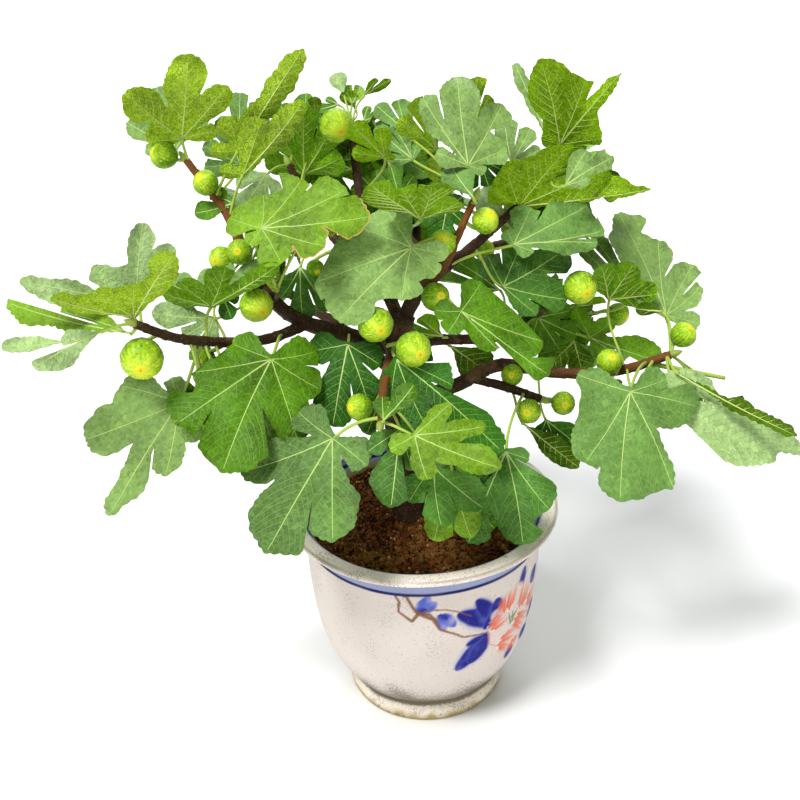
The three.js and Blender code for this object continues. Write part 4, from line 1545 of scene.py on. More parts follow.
# Each part of the crown: its heart, and its reach to the left, right, front, back, down and up.
MASSES = {
    "upper_left": ((-255, 118, 690), (82, 72, 62, 68, 80, 78)),
    "left_inner": ((-165, 105, 665), (60, 62, 55, 62, 90, 98)),
    "left_shoulder": ((-122, -5, 595), (84, 82, 62, 64, 66, 62)),
    "top_left": ((-118, 190, 640), (72, 64, 64, 72, 76, 74)),
    "top": ((-45, 235, 640), (76, 72, 76, 86, 100, 84)),
    "top_right": ((55, 55, 655), (76, 76, 70, 86, 84, 100)),
    "upper_right": ((185, 130, 680), (80, 92, 60, 70, 68, 80)),
    "right_shoulder": ((185, 95, 590), (96, 110, 70, 84, 66, 62)),
    "front_high": ((-30, -50, 580), (84, 80, 78, 70, 80, 70)),
    "middle_right": ((90, -20, 505), (84, 90, 70, 64, 86, 82)),
    "right": ((258, 70, 500), (94, 92, 64, 80, 80, 86)),
    "far_right": ((338, 10, 390), (92, 108, 60, 72, 94, 62)),
    "front_right": ((225, -50, 380), (86, 80, 78, 86, 92, 86)),
    "left_tip": ((-315, -105, 565), (96, 80, 66, 66, 80, 90)),
    "left_mid": ((-200, 5, 522), (88, 80, 62, 68, 62, 54)),
    "front_left": ((-220, -100, 425), (124, 108, 80, 90, 104, 100)),
    "front": ((-112, -145, 425), (76, 78, 84, 122, 120, 114)),
    "front_low": ((10, -160, 425), (78, 82, 68, 78, 78, 78)),
    "right_low": ((65, -62, 338), (86, 88, 76, 76, 82, 80)),
    "right_under": ((162, 38, 342), (80, 80, 72, 78, 78, 72)),
    "back_left": ((-225, 235, 485), (112, 108, 92, 98, 112, 98)),
    "back": ((0, 300, 520), (125, 122, 80, 86, 118, 108)),
    "back_right": ((210, 250, 535), (112, 106, 92, 92, 90, 92)),
    "back_right_low": ((200, 180, 400), (88, 92, 78, 88, 78, 70)),
}
BACK_MASSES = ("back_left", "back", "back_right", "back_right_low")
FILL_LENGTHS = (135, 95)  # of the first tries to fill a part of the crown, and of the later ones
FILL_GAPS = (50, 34)  # between two leaves, for the same tries
TRIES, EARLY_TRIES = 90, 30  # for each leaf that is wanted
OVERHANG = 10.0  # how far a leaf may reach out of its part of the crown
HIDDEN = 0.98  # the least share of a filling leaf that lies behind the ones in view
CELL = 3  # pixels to a cell of the cover
CLEARANCE = 7.0


class Cover:
    """What the leaves in view already hide, cell by cell, as the distance of the nearest one."""

    def __init__(self, leaves):
        cells = int(VIEW_FRAME / CELL)
        self.near = np.full((cells, cells), np.inf)
        for leaf in leaves:
            self.add(leaf)
        filled = np.isfinite(self.near)
        for axis in (0, 1):
            for step in (1, -1):
                filled &= np.isfinite(np.roll(self.near, step, axis))
        self.near[~filled] = np.inf
        rows, columns = np.mgrid[0:cells, 0:cells] * CELL + CELL / 2
        for px, py, radius in SKY_WINDOWS:
            self.near[np.hypot(columns - px, rows - py) < radius] = np.inf

    def add(self, leaf):
        flat, faces, _ = leaf.blade.mesh()
        points = leaf.placed(flat)
        points = np.vstack([points, points[faces].mean(1)])
        far = np.linalg.norm(points - VIEW_PLACE, axis=1)
        cell = (view.pixels(points) / CELL).astype(int)
        last = len(self.near) - 1
        for right in (-1, 0, 1):
            for down in (-1, 0, 1):
                x = np.clip(cell[:, 0] + right, 0, last)
                y = np.clip(cell[:, 1] + down, 0, last)
                np.minimum.at(self.near, (y, x), far)

    def hides(self, points):
        """Which points lie behind a leaf in view."""
        far = np.linalg.norm(points - VIEW_PLACE, axis=1)
        cell = (view.pixels(points) / CELL).astype(int)
        cell = np.clip(cell, 0, len(self.near) - 1)
        return far > self.near[cell[:, 1], cell[:, 0]] + CLEARANCE


def room_of_crown():
    """The solids that say how much room the crown may take."""
    corners, faces = [], []
    for name in MASSES:
        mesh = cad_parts["mass_" + name].data
        first = len(corners)
        corners += [vertex.co / MM for vertex in mesh.vertices]
        faces += [[first + k for k in face.vertices] for face in mesh.polygons]
    return BVHTree.FromPolygons(corners, faces)


def outside(room, point):
    """How far a point stands outside the crown's room; less than nothing inside it."""
    place, normal, _, gap = room.find_nearest(Vector(point))
    return gap if (Vector(point) - place).dot(normal) > 0 else -gap


def filler_forms(random, form, length):
    lobes = []
    for turn, reach, wide in LEAF_FORMS[form]:
        angle = math.radians(turn + random.uniform(-7, 7))
        far = length * reach * random.uniform(0.88, 1.06)
        lobes.append((far * math.sin(angle), far * math.cos(angle),
                      wide * random.uniform(0.88, 1.1)))
    return lobes


def filling_leaves(shown, counts):
    """Leaves that fill each part of the crown behind the ones in view, full on every side."""
    cover = Cover(shown)
    room = room_of_crown()
    random = np.random.default_rng(11)
    made = []
    centres = [leaf.joint + leaf.along * leaf.blade.size * 0.4 for leaf in shown]
    ways = [leaf.normal for leaf in shown]
    for name, (heart, reach) in MASSES.items():
        left, right, front, back, down, up = reach
        wanted = counts[1] if name in BACK_MASSES else counts[0]
        placed = 0
        for attempt in range(wanted * TRIES):
            if placed >= wanted:
                break
            late = attempt >= wanted * EARLY_TRIES
            turn, rise = random.uniform(0, 2 * math.pi), random.uniform(-0.8, 1)
            flat = math.sqrt(1 - rise * rise)
            way = np.array([flat * math.cos(turn), flat * math.sin(turn), rise])
            spread = np.array([right if way[0] > 0 else left, back if way[1] > 0 else front,
                               up if way[2] > 0 else down])
            length = random.uniform(0.7, 1.0) * FILL_LENGTHS[late]
            centre = np.array(heart) + way * spread * random.uniform(0.3, 0.85)
            lift = np.array([0, 0, random.uniform(0.5, 1.1)])
            normal = unit(lift + 0.8 * way + random.normal(size=3) * 0.3)
            outward = np.array([way[0], way[1], -0.35]) + random.normal(size=3) * 0.4
            along = unit(outward - normal * np.dot(outward, normal))
            across = np.cross(along, normal)
            joint = centre - along * length * 0.4
            lobes = filler_forms(random, ["five", "three", "broad"][random.integers(3)], length)
            tips = np.array([(0, 0, 0)] + [x * across + y * along for x, y, _ in lobes])
            marks = joint + np.vstack([tips, tips * 0.6])
            if not cover.hides(marks).all():
                continue
            middle = joint + along * length * 0.4
            away = middle - np.array(centres)
            off = np.abs((away * np.array(ways)).sum(1))
            if (np.linalg.norm(away, axis=1) + 1.5 * off).min() < FILL_GAPS[late]:
                continue
            if any(outside(room, mark) > OVERHANG for mark in marks):
                continue
            tint = [DEEP, LEAF, LEAF, FRESH, GREY, TEAL][random.integers(6)]
            blade = Blade(lobes, int(random.integers(1 << 30)), fine=8.0, rungs=False,
                          droop=random.uniform(0.1, 0.3), cup=random.uniform(0, 0.3))
            leaf = Leaf(name, blade, joint, across, along, tint)
            if cover.hides(leaf.placed(blade.outline)).mean() < HIDDEN:
                continue
            made.append(leaf)
            centres.append(middle)
            ways.append(normal)
            placed += 1
    return made


# ---------------------------------------------------------------- the whole plant

def leaf_finishes():
    """The four finishes of veins and edges, then every tint of each side in its steps of painted
    light and shade.
    """
    finishes = [
        skin_finish("vein_upper", 0.5), skin_finish("vein_side", 0.5),
        skin_finish("vein_under", 0.55), skin_finish("brown_edge", 0.75),
    ]
    for side in ("upper", "under"):
        for tint in TINTS:
            for step, tone in enumerate(TONES):
                shade = np.minimum(0.95, hue(f"{side}_{tint}") * tone)
                name = f"leaf_{side}_{tint}_{step}"
                make = upper_finish if side == "upper" else under_finish
                finishes.append(make(name, shade))
    return finishes


def whole_plant(settings):
    """Leaves, wood, stalks and figs, worked out together because each grows on the last."""
    wood = Wood()
    shown = leaves_in_view()
    fillers = filling_leaves(shown, (settings.front_fill, settings.back_fill))
    stalks, figs = Shape(), Shape()
    grow_stalks(shown, wood, stalks)
    for near, far in BARE_STALKS:
        start, _ = wood.nearest(view.at_depth(*near, far[2]), np.array(near))
        root, end = wood.points[start], view.at_depth(*far)
        route = bent_route(root, end - root, end, end - root)
        tube(stalks, route, np.linspace(3.2, 2.3, len(route)), STALK_SIDES, STALK)
    grow_figs(wood, figs, stalks)
    grow_stalks(fillers, wood, stalks)
    for name in BOUGHS:
        route = limb_route(name)
        add_bud(stalks, route[-1], route[-1] - route[-3], 14, 4.2)
    return shown + fillers, stalks, figs


PLANT = {}


def grown(settings):
    if not PLANT:
        PLANT["parts"] = whole_plant(settings)
    return PLANT["parts"]


# ---------------------------------------------------------------- pot and soil

NECK = 140.0
WAIST = [(205, 139.5), (160, 137.5), (122, 133), (90, 126.5), (64, 117), (44, 105.5),
         (33, 97.5)]
POT_FLOOR = 18.0
FOOT_RECESS = 3.0  # how far the underside lies above the foot's edge
POT_STEP = 1.4  # between the rings of the painted part
PAINTED_ROWS = (84, 240)  # heights between which every ring is kept


def pot_outline(step):
    """Radius and height up the outside, over the rolled rim and down the inside of the pot."""
    height, mouth, wall = length_of("pot_height"), length_of("mouth_radius"), length_of("wall")
    rim_half, roll = (length_of("rim_radius") - mouth) / 2, length_of("rim_thickness") / 2
    outside = [(91, 0), (93.5, 1.2), (95.5, 4), (96.6, 8), (97.5, 15), (96.2, 20), (93.2, 25),
               (92.5, 27), (93.4, 29.4)]
    outside += [(radius, level) for level, radius in reversed(WAIST)]
    outside += [(NECK, 232), (140.6, 241), (144, height - 2 * roll - 0.4)]
    rolled = []
    for degrees in range(-70, 200, 8):
        angle = math.radians(degrees)
        groove = 1 - 0.10 * math.exp(-(((degrees - 26) / 10) ** 2))
        out = math.copysign(abs(math.cos(angle)) ** 0.85, math.cos(angle))
        above = math.copysign(abs(math.sin(angle)) ** 0.6, math.sin(angle))
        rolled.append((mouth + rim_half + rim_half * groove * out,
                       height - roll + roll * groove * above))
    inside = [(radius - wall, level) for level, radius in [(236, NECK), (205, 139.5), (150, 137)]]
    knots = np.array([(r, 0, h) for r, h in outside + rolled + inside], float)
    line = smooth_route(knots, step)
    return line[:, [0, 2]]


def add_pot_body(shape, outline, turns):
    """Turns the outline, with a ring of points for each angle; close() shuts it below and inside.
    """
    rows, radius, height = len(outline), outline[:, 0], outline[:, 1]
    seamed = np.append(turns, turns[0] + 2 * math.pi)
    dents = 0.5 * ripple(np.stack([
        np.cos(seamed)[None] * 140 * np.ones((rows, 1)),
        np.sin(seamed)[None] * 140 * np.ones((rows, 1)),
        height[:, None] * np.ones(len(seamed)),
    ], -1), 150, 3)
    dents[:, -1] = dents[:, 0]
    full = radius[:, None] + dents * np.clip((height[:, None] - 2) / 10, 0, 1)
    points = np.stack([full * np.sin(seamed), -full * np.cos(seamed),
                       height[:, None] * np.ones(len(seamed))], -1)
    along = run_along(outline)
    u = (seamed - seamed[0]) / (2 * math.pi)
    uv = np.stack([u[None] * np.ones((rows, 1)), (along / along[-1])[:, None] * 0.7
                   * np.ones(len(seamed))], -1)
    shape.add(points.reshape(-1, 3), wall_quads(rows, len(turns), seam=1), 0, uv.reshape(-1, 2))
    return points


# ---------------------------------------------------------------- the painting on the glaze

BLUE_LINE = 225.5  # height of the blue line under the rim
ARC = 137.5  # radius on which the painting's widths are measured
PAINTINGS = (0.0, math.pi)  # turns from the pot's front where the spray starts
PAINTED_TURNS = (-0.44, 1.38)  # the part that a spray takes, from its start
FINE_TURN, WIDE_TURN = 0.0095, 0.035  # between the pot's columns in and outside that part
FOOT_TOP = 26.0
SHOULDER = 134.0  # radius above which the band lies
INNER_LINE = 246.0  # height of the line inside the rim
RIM_BASE = 250.0


def brush(places, route, width, soft=0.7):
    """How much of a brush line covers each place; the width may change along it."""
    route = np.asarray(route, float)
    widths = np.broadcast_to(width, len(route)).astype(float)
    cover = np.zeros(len(places))
    for a, b, wide_a, wide_b in zip(route, route[1:], widths, widths[1:]):
        along = np.clip(((places - a) @ (b - a)) / max(np.dot(b - a, b - a), 1e-9), 0, 1)
        gap = np.linalg.norm(places - a - along[:, None] * (b - a), axis=1)
        half = (wide_a + (wide_b - wide_a) * along) / 2
        cover = np.maximum(cover, np.clip((half - gap) / soft + 0.5, 0, 1))
    return cover


def petal(places, root, tip, width, soft=0.8):
    """How much of a pointed petal covers each place."""
    root, tip = np.asarray(root, float), np.asarray(tip, float)
    length = np.linalg.norm(tip - root)
    way = (tip - root) / length
    s = ((places - root) @ way) / length
    off = np.abs((places - root) @ np.array([way[1], -way[0]]))
    half = width / 2 * np.sqrt(np.clip(np.sin(math.pi * np.clip(s, 0, 1) ** 0.8), 0, 1))
    return np.clip((half - off) / soft + 0.5, 0, 1) * ((s > 0) & (s < 1))


def lay(colours, cover, paint):
    cover = cover[:, None]
    return colours * (1 - cover) + paint * cover


BLUE_PETALS = [  # root, tip and width, in arc and height
    ((88, 166), (33, 193), 27), ((80, 172), (56, 207), 20), ((84, 165), (84, 198), 20),
    ((86, 176), (66, 160), 18), ((74, 152), (33, 105), 24), ((72, 146), (50, 112), 22),
    ((64, 150), (44, 143), 10), ((124, 192), (131, 216), 12), ((150, 178), (166, 196), 18),
    ((140, 110), (166, 96), 20), ((150, 130), (176, 138), 20), ((120, 104), (112, 86), 14),
]
PALE_PETALS = [((-10, 200), (3, 223), 15), ((-8, 201), (11, 214), 14), ((14, 197), (18, 172), 14),
               ((16, 196), (31, 176), 15)]
BROWN_TWIG = [(-36, 226), (-30, 215), (-31.5, 201), (-17, 188), (-9.6, 199), (6.5, 190),
              (13.5, 175), (32.5, 164), (40, 158), (72, 153)]
BROWN_SHOOT = [(-33, 226), (-21.6, 222), (-15.6, 208), (-11, 200), (3, 197), (12, 186)]
THIN_SHOOT = [(-9.6, 198), (3, 204), (21, 202), (33, 197), (50, 186)]
PEONY_HEART = np.array([116.0, 151.0])
PEONY_REACH = 45.0
CORAL_FANS = [  # root, tip and width of the coral flames on the petals
    ((97, 171), (103, 203), 30), ((126, 159), (138, 188), 24), ((75, 157), (98, 167), 24),
    ((91, 126), (119, 117), 34), ((116, 149), (144, 125), 26), ((142, 152), (166, 160), 26),
    ((116, 113), (127, 96), 26),
]
CORAL_LINES = [[(72, 156), (73.5, 144.5), (76, 132), (87, 123)], [(75, 164), (83, 175), (90, 182)]]
HEART_STROKES = [((103, 165), (108, 147)), ((110, 164), (111, 149)), ((119, 162), (112, 152)),
                 ((105, 155), (117, 158))]


def paint_peony(colours, places):
    """An open peony: white petals, coral flames that fade outwards, and a green heart."""
    away = places - PEONY_HEART
    turn = np.arctan2(away[:, 0], away[:, 1])
    edge = PEONY_REACH * (1 + 0.07 * np.sin(6 * turn + 1) + 0.04 * np.sin(11 * turn))
    inward = edge - np.hypot(*away.T)
    body = np.clip(inward / 4, 0, 1)
    colours = lay(colours, 0.75 * body, hue("white_paint"))
    for number, (root, tip, width) in enumerate(CORAL_FANS):
        root, tip = np.array(root, float), np.array(tip, float)
        length = np.linalg.norm(tip - root)
        way = (tip - root) / length
        along = (places - root) @ way / length
        strand = (places - root) @ np.array([way[1], -way[0]]) / (width / 2)
        strand = strand / (0.85 + 0.4 * np.clip(along, 0, 1))
        jag = 0.09 * np.sin(strand * 9 + number) + 0.05 * np.sin(strand * 21 + 2 * number)
        past = along - jag - 0.22 * strand**2
        side = np.clip((1 - np.abs(strand)) / 0.3, 0, 1)
        reach = 0.8 + 0.25 * np.sin(strand * 13 + 3 * number)
        start = np.clip(past / 0.05, 0, 1) * side * np.clip(1 + inward / 8, 0, 1)
        flame = start * np.clip(1 - past / reach, 0, 1) ** 0.5
        stroke = np.clip(0.9 + 0.25 * np.sin(strand * 18 + number), 0, 1)
        hem = np.exp(-(((past + 0.07) / 0.06) ** 2))
        colours = lay(colours, 0.7 * hem * side, hue("white_paint") * 1.15)
        colours = lay(colours, 0.6 * start * np.clip(1.15 - past, 0, 1), hue("pale_coral"))
        colours = lay(colours, 0.95 * flame * stroke, hue("coral"))
    for line in CORAL_LINES:
        colours = lay(colours, 0.7 * brush(places, line, 1.4), hue("coral"))
    for low, high in HEART_STROKES:
        colours = lay(colours, 0.85 * brush(places, [low, high], [1.6, 3.4]), hue("green_paint"))
    return colours


def paint_spray(colours, places):
    """A common spray: a bent brown twig, blue leaves, pale petals and an open peony."""
    wash = np.clip(0.86 + 0.2 * ripple(places, 14, 41), 0, 1)
    for root, tip, width in PALE_PETALS:
        colours = lay(colours, petal(places, root, tip, width, 2.5) * wash, hue("pale_blue"))
        dark = petal(places, root, np.array(tip) * 0.4 + np.array(root) * 0.6, width * 0.5, 3)
        colours = lay(colours, dark * 0.8, hue("cobalt"))
    for root, tip, width in BLUE_PETALS:
        for wide, soft, share in ((1.15, 9.0, 0.6), (1.0, 3.0, 0.9)):
            cover = petal(places, root, tip, width * wide, soft) * wash * share
            colours = lay(colours, cover, hue("pale_blue"))
        streak = np.clip(1.15 + 0.25 * ripple(places, 26, 43), 0, 1)
        colours = lay(colours, petal(places, root, tip, width * 0.94, 3.4) * streak, hue("cobalt"))
    for line, widths in ((BROWN_TWIG, [2.4, 3.2, 2.8, 3.8, 4.4, 4.6, 3.4, 2.8, 2.6, 2]),
                         (BROWN_SHOOT, [2.8, 3.4, 3.8, 4.2, 3.4, 1.8]),
                         (THIN_SHOOT, [2.2, 2, 1.8, 1.8, 1.4])):
        colours = lay(colours, brush(places, line, widths) * 0.92, hue("brown_paint"))
    return paint_peony(colours, places)


def glaze_colours(points, inside):
    """The colour of the glaze and its painting at each point of the pot."""
    radius, height = np.hypot(points[:, 0], points[:, 1]), points[:, 2]
    turn = np.arctan2(points[:, 0], -points[:, 1])
    mottle = ripple(points, 70, 8)[:, None]
    colours = np.tile(hue("glaze"), (len(points), 1)) * (1 + 0.02 * mottle)
    low = np.clip((70 - height) / 60, 0, 1)
    colours = lay(colours, low * 0.45, hue("foot_glaze"))
    ring = (height < FOOT_TOP) & (radius > 80)
    colours = lay(colours, ring * (0.35 + 0.2 * ripple(points, 26, 15)), hue("foot_glaze"))
    outside = (radius > SHOULDER) & ~inside
    wander = 0.35 * ripple(points, 60, 9)
    above = height - BLUE_LINE + wander
    colours = lay(colours, np.clip(above / 2, 0, 1) * 0.9 * outside, hue("band_glaze"))
    for middle in PAINTINGS:
        off = (turn - middle - 1 + math.pi) % (2 * math.pi) - math.pi + 1
        places = np.stack([off * ARC, height], -1)
        near = (places[:, 0] > -60) & (places[:, 0] < 190) & (height > 70) & (height < BLUE_LINE)
        near &= ~inside
        colours[near] = paint_spray(colours[near], places[near])
    colours = lay(colours, np.clip(2.6 - np.abs(above + 0.8), 0, 1) * outside, hue("line_blue"))
    colours[inside] = hue("inner_glaze") * (1 + 0.12 * mottle[inside])
    colours = lay(colours, np.clip((height - 240) / 2, 0, 1) * inside, hue("band_glaze"))
    line = np.clip(2.4 - np.abs(height - INNER_LINE), 0, 1) * inside
    colours = lay(colours, line, hue("line_blue"))
    # The rim's glaze, with painted light that lifts the shade and green bounce from the crown.
    rolled = np.clip((height - 245.8) / 0.8, 0, 1) * (radius > 145) * ~inside
    rolled = np.maximum(rolled, (height > RIM_BASE) * ~inside)
    colours = lay(colours, rolled, hue("rim_glaze"))
    worn = np.clip((radius - 157.5) / 3 + 0.5 * ripple(points, 30, 17), 0, 1) * rolled
    colours = lay(colours, worn * 0.35, hue("rim_edge"))
    # A dark brown line along the rim's groove, with painted shade of the groove.
    crease = np.exp(-(((radius - 157.6) / 0.9) ** 2)) * (height > RIM_BASE) * rolled
    colours = lay(colours, crease * 0.7, hue("rim_edge") * 0.6)
    chips = np.clip((ripple(points, 16, 51) - 1.9) * 3, 0, 1) * rolled
    colours = lay(colours, chips * 0.8, hue("dirt"))
    # Darker in the groove above the foot.
    dirt = np.exp(-(((height - 28) / 3.4) ** 2)) * (radius < 100)
    colours = lay(colours, dirt * 0.9, hue("dirt"))
    smear = np.clip(1 - (height - 30) / 42, 0, 1) ** 1.5 * (height > 27)
    uneven = 0.6 + 0.4 * ripple(points, 30, 13) + 0.5 * ripple(points, 6, 14)
    smear = smear * np.clip(uneven, 0, 1.4)
    colours = lay(colours, np.clip(smear * 0.7, 0, 1), hue("dirt") * 2.4)
    moss = np.clip((14.5 - height + 3.5 * ripple(points, 18, 12)) / 9, 0, 1) * (radius > 80)
    colours = lay(colours, moss * 0.9, hue("moss"))
    grime = np.clip(ripple(points, 5, 18) - 0.75, 0, 1) * np.exp(-np.clip(height - 4, 0, 99) / 16)
    return lay(colours, grime * 0.9 * (radius > 80), hue("dirt"))


def dirt_shares(points, inside):
    """How dirty the glaze is at each point: thick round the foot, thin on the body."""
    radius, height = np.hypot(points[:, 0], points[:, 1]), points[:, 2]
    low = np.clip((86 - height) / 50, 0, 1) ** 1.2 * (height > 25)
    share = 0.26 + 1.05 * low + 0.14 * ripple(points, 40, 19) + 0.2 * (height <= 25)
    share += 0.3 * np.exp(-(((height - 27) / 3) ** 2)) * (radius < 100)
    share += 0.2 * (height > RIM_BASE)
    return np.where(inside, 0.3, share)


PINHOLE = (0.16, 0.11, 0.07)
DIRT_GRAIN = (0.11, 0.085, 0.05)


def glaze_finish():
    """Cream glaze over the paint: dark pinholes, soft crackle and a wet gloss."""
    material, shader = new_finish("painted_glaze", (0.70, 0.625, 0.555), 0.3, 0.12)
    tree = material.node_tree
    paint = value_node(tree, "paint")
    specks = cell_node(tree, 250)
    dots = ramp_node(tree, specks.outputs["Distance"], [(0.12, grey(1)), (0.22, grey(0))])
    blotch = noise_node(tree, 420, 4, 0.7)
    some = ramp_node(tree, blotch.outputs["Fac"], [(0.44, grey(0.04)), (0.62, grey(0.9))])
    chosen = tree.nodes.new("ShaderNodeMath")
    chosen.operation = "MULTIPLY"
    tree.links.new(dots.outputs["Color"], chosen.inputs[0])
    tree.links.new(some.outputs["Color"], chosen.inputs[1])
    blend = mix_node(tree, chosen.outputs["Value"], paint.outputs["Color"], PINHOLE)
    dirty = value_node(tree, "dirt")
    grains = noise_node(tree, 620, 3, 0.7)
    sum_node = tree.nodes.new("ShaderNodeMath")
    sum_node.operation = "MULTIPLY_ADD"
    sum_node.inputs[1].default_value = 0.33
    tree.links.new(dirty.outputs["Fac"], sum_node.inputs[0])
    tree.links.new(grains.outputs["Fac"], sum_node.inputs[2])
    spots = ramp_node(tree, sum_node.outputs["Value"], [(0.70, grey(0)), (0.84, grey(0.8))])
    soiled = mix_node(tree, spots.outputs["Color"], blend.outputs["Result"], DIRT_GRAIN)
    tree.links.new(soiled.outputs["Result"], shader.inputs["Base Color"])
    uneven_roughness(tree, shader, 90, 0.38, 0.5)
    ripples = noise_node(tree, 330, 3)
    first = add_bump(tree, shader, ripples.outputs["Fac"], 0.3, 0.0008)
    add_bump(tree, shader, dots.outputs["Color"], -0.3, 0.0005, first)
    shader.inputs["Coat Weight"].default_value = 0.03
    shader.inputs["Coat Roughness"].default_value = 0.2
    return material


SOIL_SIDES = 180
SOIL_STEP = 2.2  # between its rings
SOIL_DEPTH = 30.0  # of the layer that is modelled
TUCK = 4.6  # how far the soil's edge reaches into the wall
CRUMBS = 5200
CRUMB_SIZES = (0.9, 2.5)
CLOD, CLOD_EVERY = 2.1, 17  # how much larger a clod is, and how often one comes
SOILS = ("loam", "black_loam", "clay", "grit", "sandy_loam")
# How often each of them comes, in sandy and in dark places.
TONES_SANDY = [0.30, 0.16, 0.12, 0.04, 0.38]
TONES_DARK = [0.30, 0.40, 0.19, 0.05, 0.06]


def soil_height(x, y):
    places = np.stack([x, y], -1)
    radius = np.hypot(x, y)
    height = length_of("soil_level") + 1.6 * ripple(places, 70, 21) + 1.3 * ripple(places, 22, 22)
    height += 0.9 * ripple(places, 8, 23)
    height += 6.0 * np.exp(-(np.hypot(x + 10, y - 8) / 30) ** 2)
    return height - 2.0 * np.clip((radius - 110) / 22, 0, 1)


def ball_corners():
    """The twelve corners of a regular ball of twenty faces, two units from each other."""
    gold = (1 + math.sqrt(5)) / 2
    corners = [(0, a, b * gold) for a in (-1, 1) for b in (-1, 1)]
    corners += [(a, b * gold, 0) for a in (-1, 1) for b in (-1, 1)]
    corners += [(b * gold, 0, a) for a in (-1, 1) for b in (-1, 1)]
    return np.array(corners, float)


def ball_faces(corners):
    """A face for every three corners that are two units apart, turned outwards."""
    faces = []
    for i, j, k in combinations(range(len(corners)), 3):
        sides = [np.linalg.norm(corners[p] - corners[q]) for p, q in ((i, j), (j, k), (i, k))]
        if max(sides) < 2.1:
            normal = np.cross(corners[j] - corners[i], corners[k] - corners[i])
            turned = np.dot(normal, corners[i]) < 0
            faces.append((i, k, j) if turned else (i, j, k))
    return np.array(faces)


CRUMB_CORNERS = ball_corners()
CRUMB_FACES = ball_faces(CRUMB_CORNERS)


def crumb(shape, centre, size, random, look):
    """One grain of soil or grit: a squashed, uneven ball."""
    corners = CRUMB_CORNERS / np.linalg.norm(CRUMB_CORNERS[0])
    stretch = random.uniform(0.6, 1.15, 3) * size
    corners = corners * stretch * random.uniform(0.8, 1.15, (len(corners), 1))
    spin = Matrix.Rotation(random.uniform(0, 6.28), 3, Vector(random.normal(size=3)))
    shape.add(corners @ np.array(spin) + centre, CRUMB_FACES, look)


# ---------------------------------------------------------------- operators


def finish_piece(piece, nodes):
    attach(piece, "root")
    if nodes:
        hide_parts(*nodes)
    return piece


class FIGTREE_OT_limbs(bpy.types.Operator):
    """Makes the bark of the trunk and of every bough"""

    bl_idname = "figtree.limbs"
    bl_label = "Trunk and Boughs"

    def execute(self, context):
        bark = bark_finish("bark", hue("bark"), hue("worn_bark"), hue("green_bark"))
        for name in ["trunk", *BOUGHS]:
            shape = wood_shape(name)
            piece = shape.build("bark_" + name, [bark])
            mark_youth(piece, np.vstack(shape.points), name)
            finish_piece(piece, [name])
        return {"FINISHED"}


class FIGTREE_OT_leaves(bpy.types.Operator):
    """Makes the leaves of each part of the crown"""

    bl_idname = "figtree.leaves"
    bl_label = "Leaves"

    def execute(self, context):
        leaves, _, _ = grown(context.scene.figtree_sizes)
        finishes = leaf_finishes()
        for name in MASSES:
            shape = Shape()
            mine = [leaf for leaf in leaves if leaf.mass == name]
            across = max(1, math.ceil(math.sqrt(2 * len(mine))))
            for number, leaf in enumerate(mine):
                spots = (2 * number, 2 * number + 1)
                add_leaf(shape, leaf, [(spot % across, spot // across, across) for spot in spots])
            used = sorted(set(np.concatenate(shape.looks)))
            shape.looks = [np.searchsorted(used, look).astype(np.int32) for look in shape.looks]
            piece = shape.build("leaves_" + name, [finishes[k] for k in used], piece_map=True)
            finish_piece(piece, ["mass_" + name])
        return {"FINISHED"}


class FIGTREE_OT_stalks(bpy.types.Operator):
    """Makes the twigs, the leaf stalks and the buds"""

    bl_idname = "figtree.stalks"
    bl_label = "Twigs and Stalks"

    def execute(self, context):
        _, stalks, _ = grown(context.scene.figtree_sizes)
        finishes = [
            bark_finish("twig_bark", hue("twig"), hue("worn_twig"), hue("green_twig")),
            skin_finish("leaf_stalk", 0.45),
            skin_finish("bud", 0.5),
        ]
        piece = stalks.build("twigs_and_stalks", finishes)
        finish_piece(piece, [])
        return {"FINISHED"}


class FIGTREE_OT_figs(bpy.types.Operator):
    """Makes the figs"""

    bl_idname = "figtree.figs"
    bl_label = "Figs"

    def execute(self, context):
        _, _, figs = grown(context.scene.figtree_sizes)
        piece = figs.build("figs", fig_finishes(), piece_map=True)
        finish_piece(piece, [])
        return {"FINISHED"}


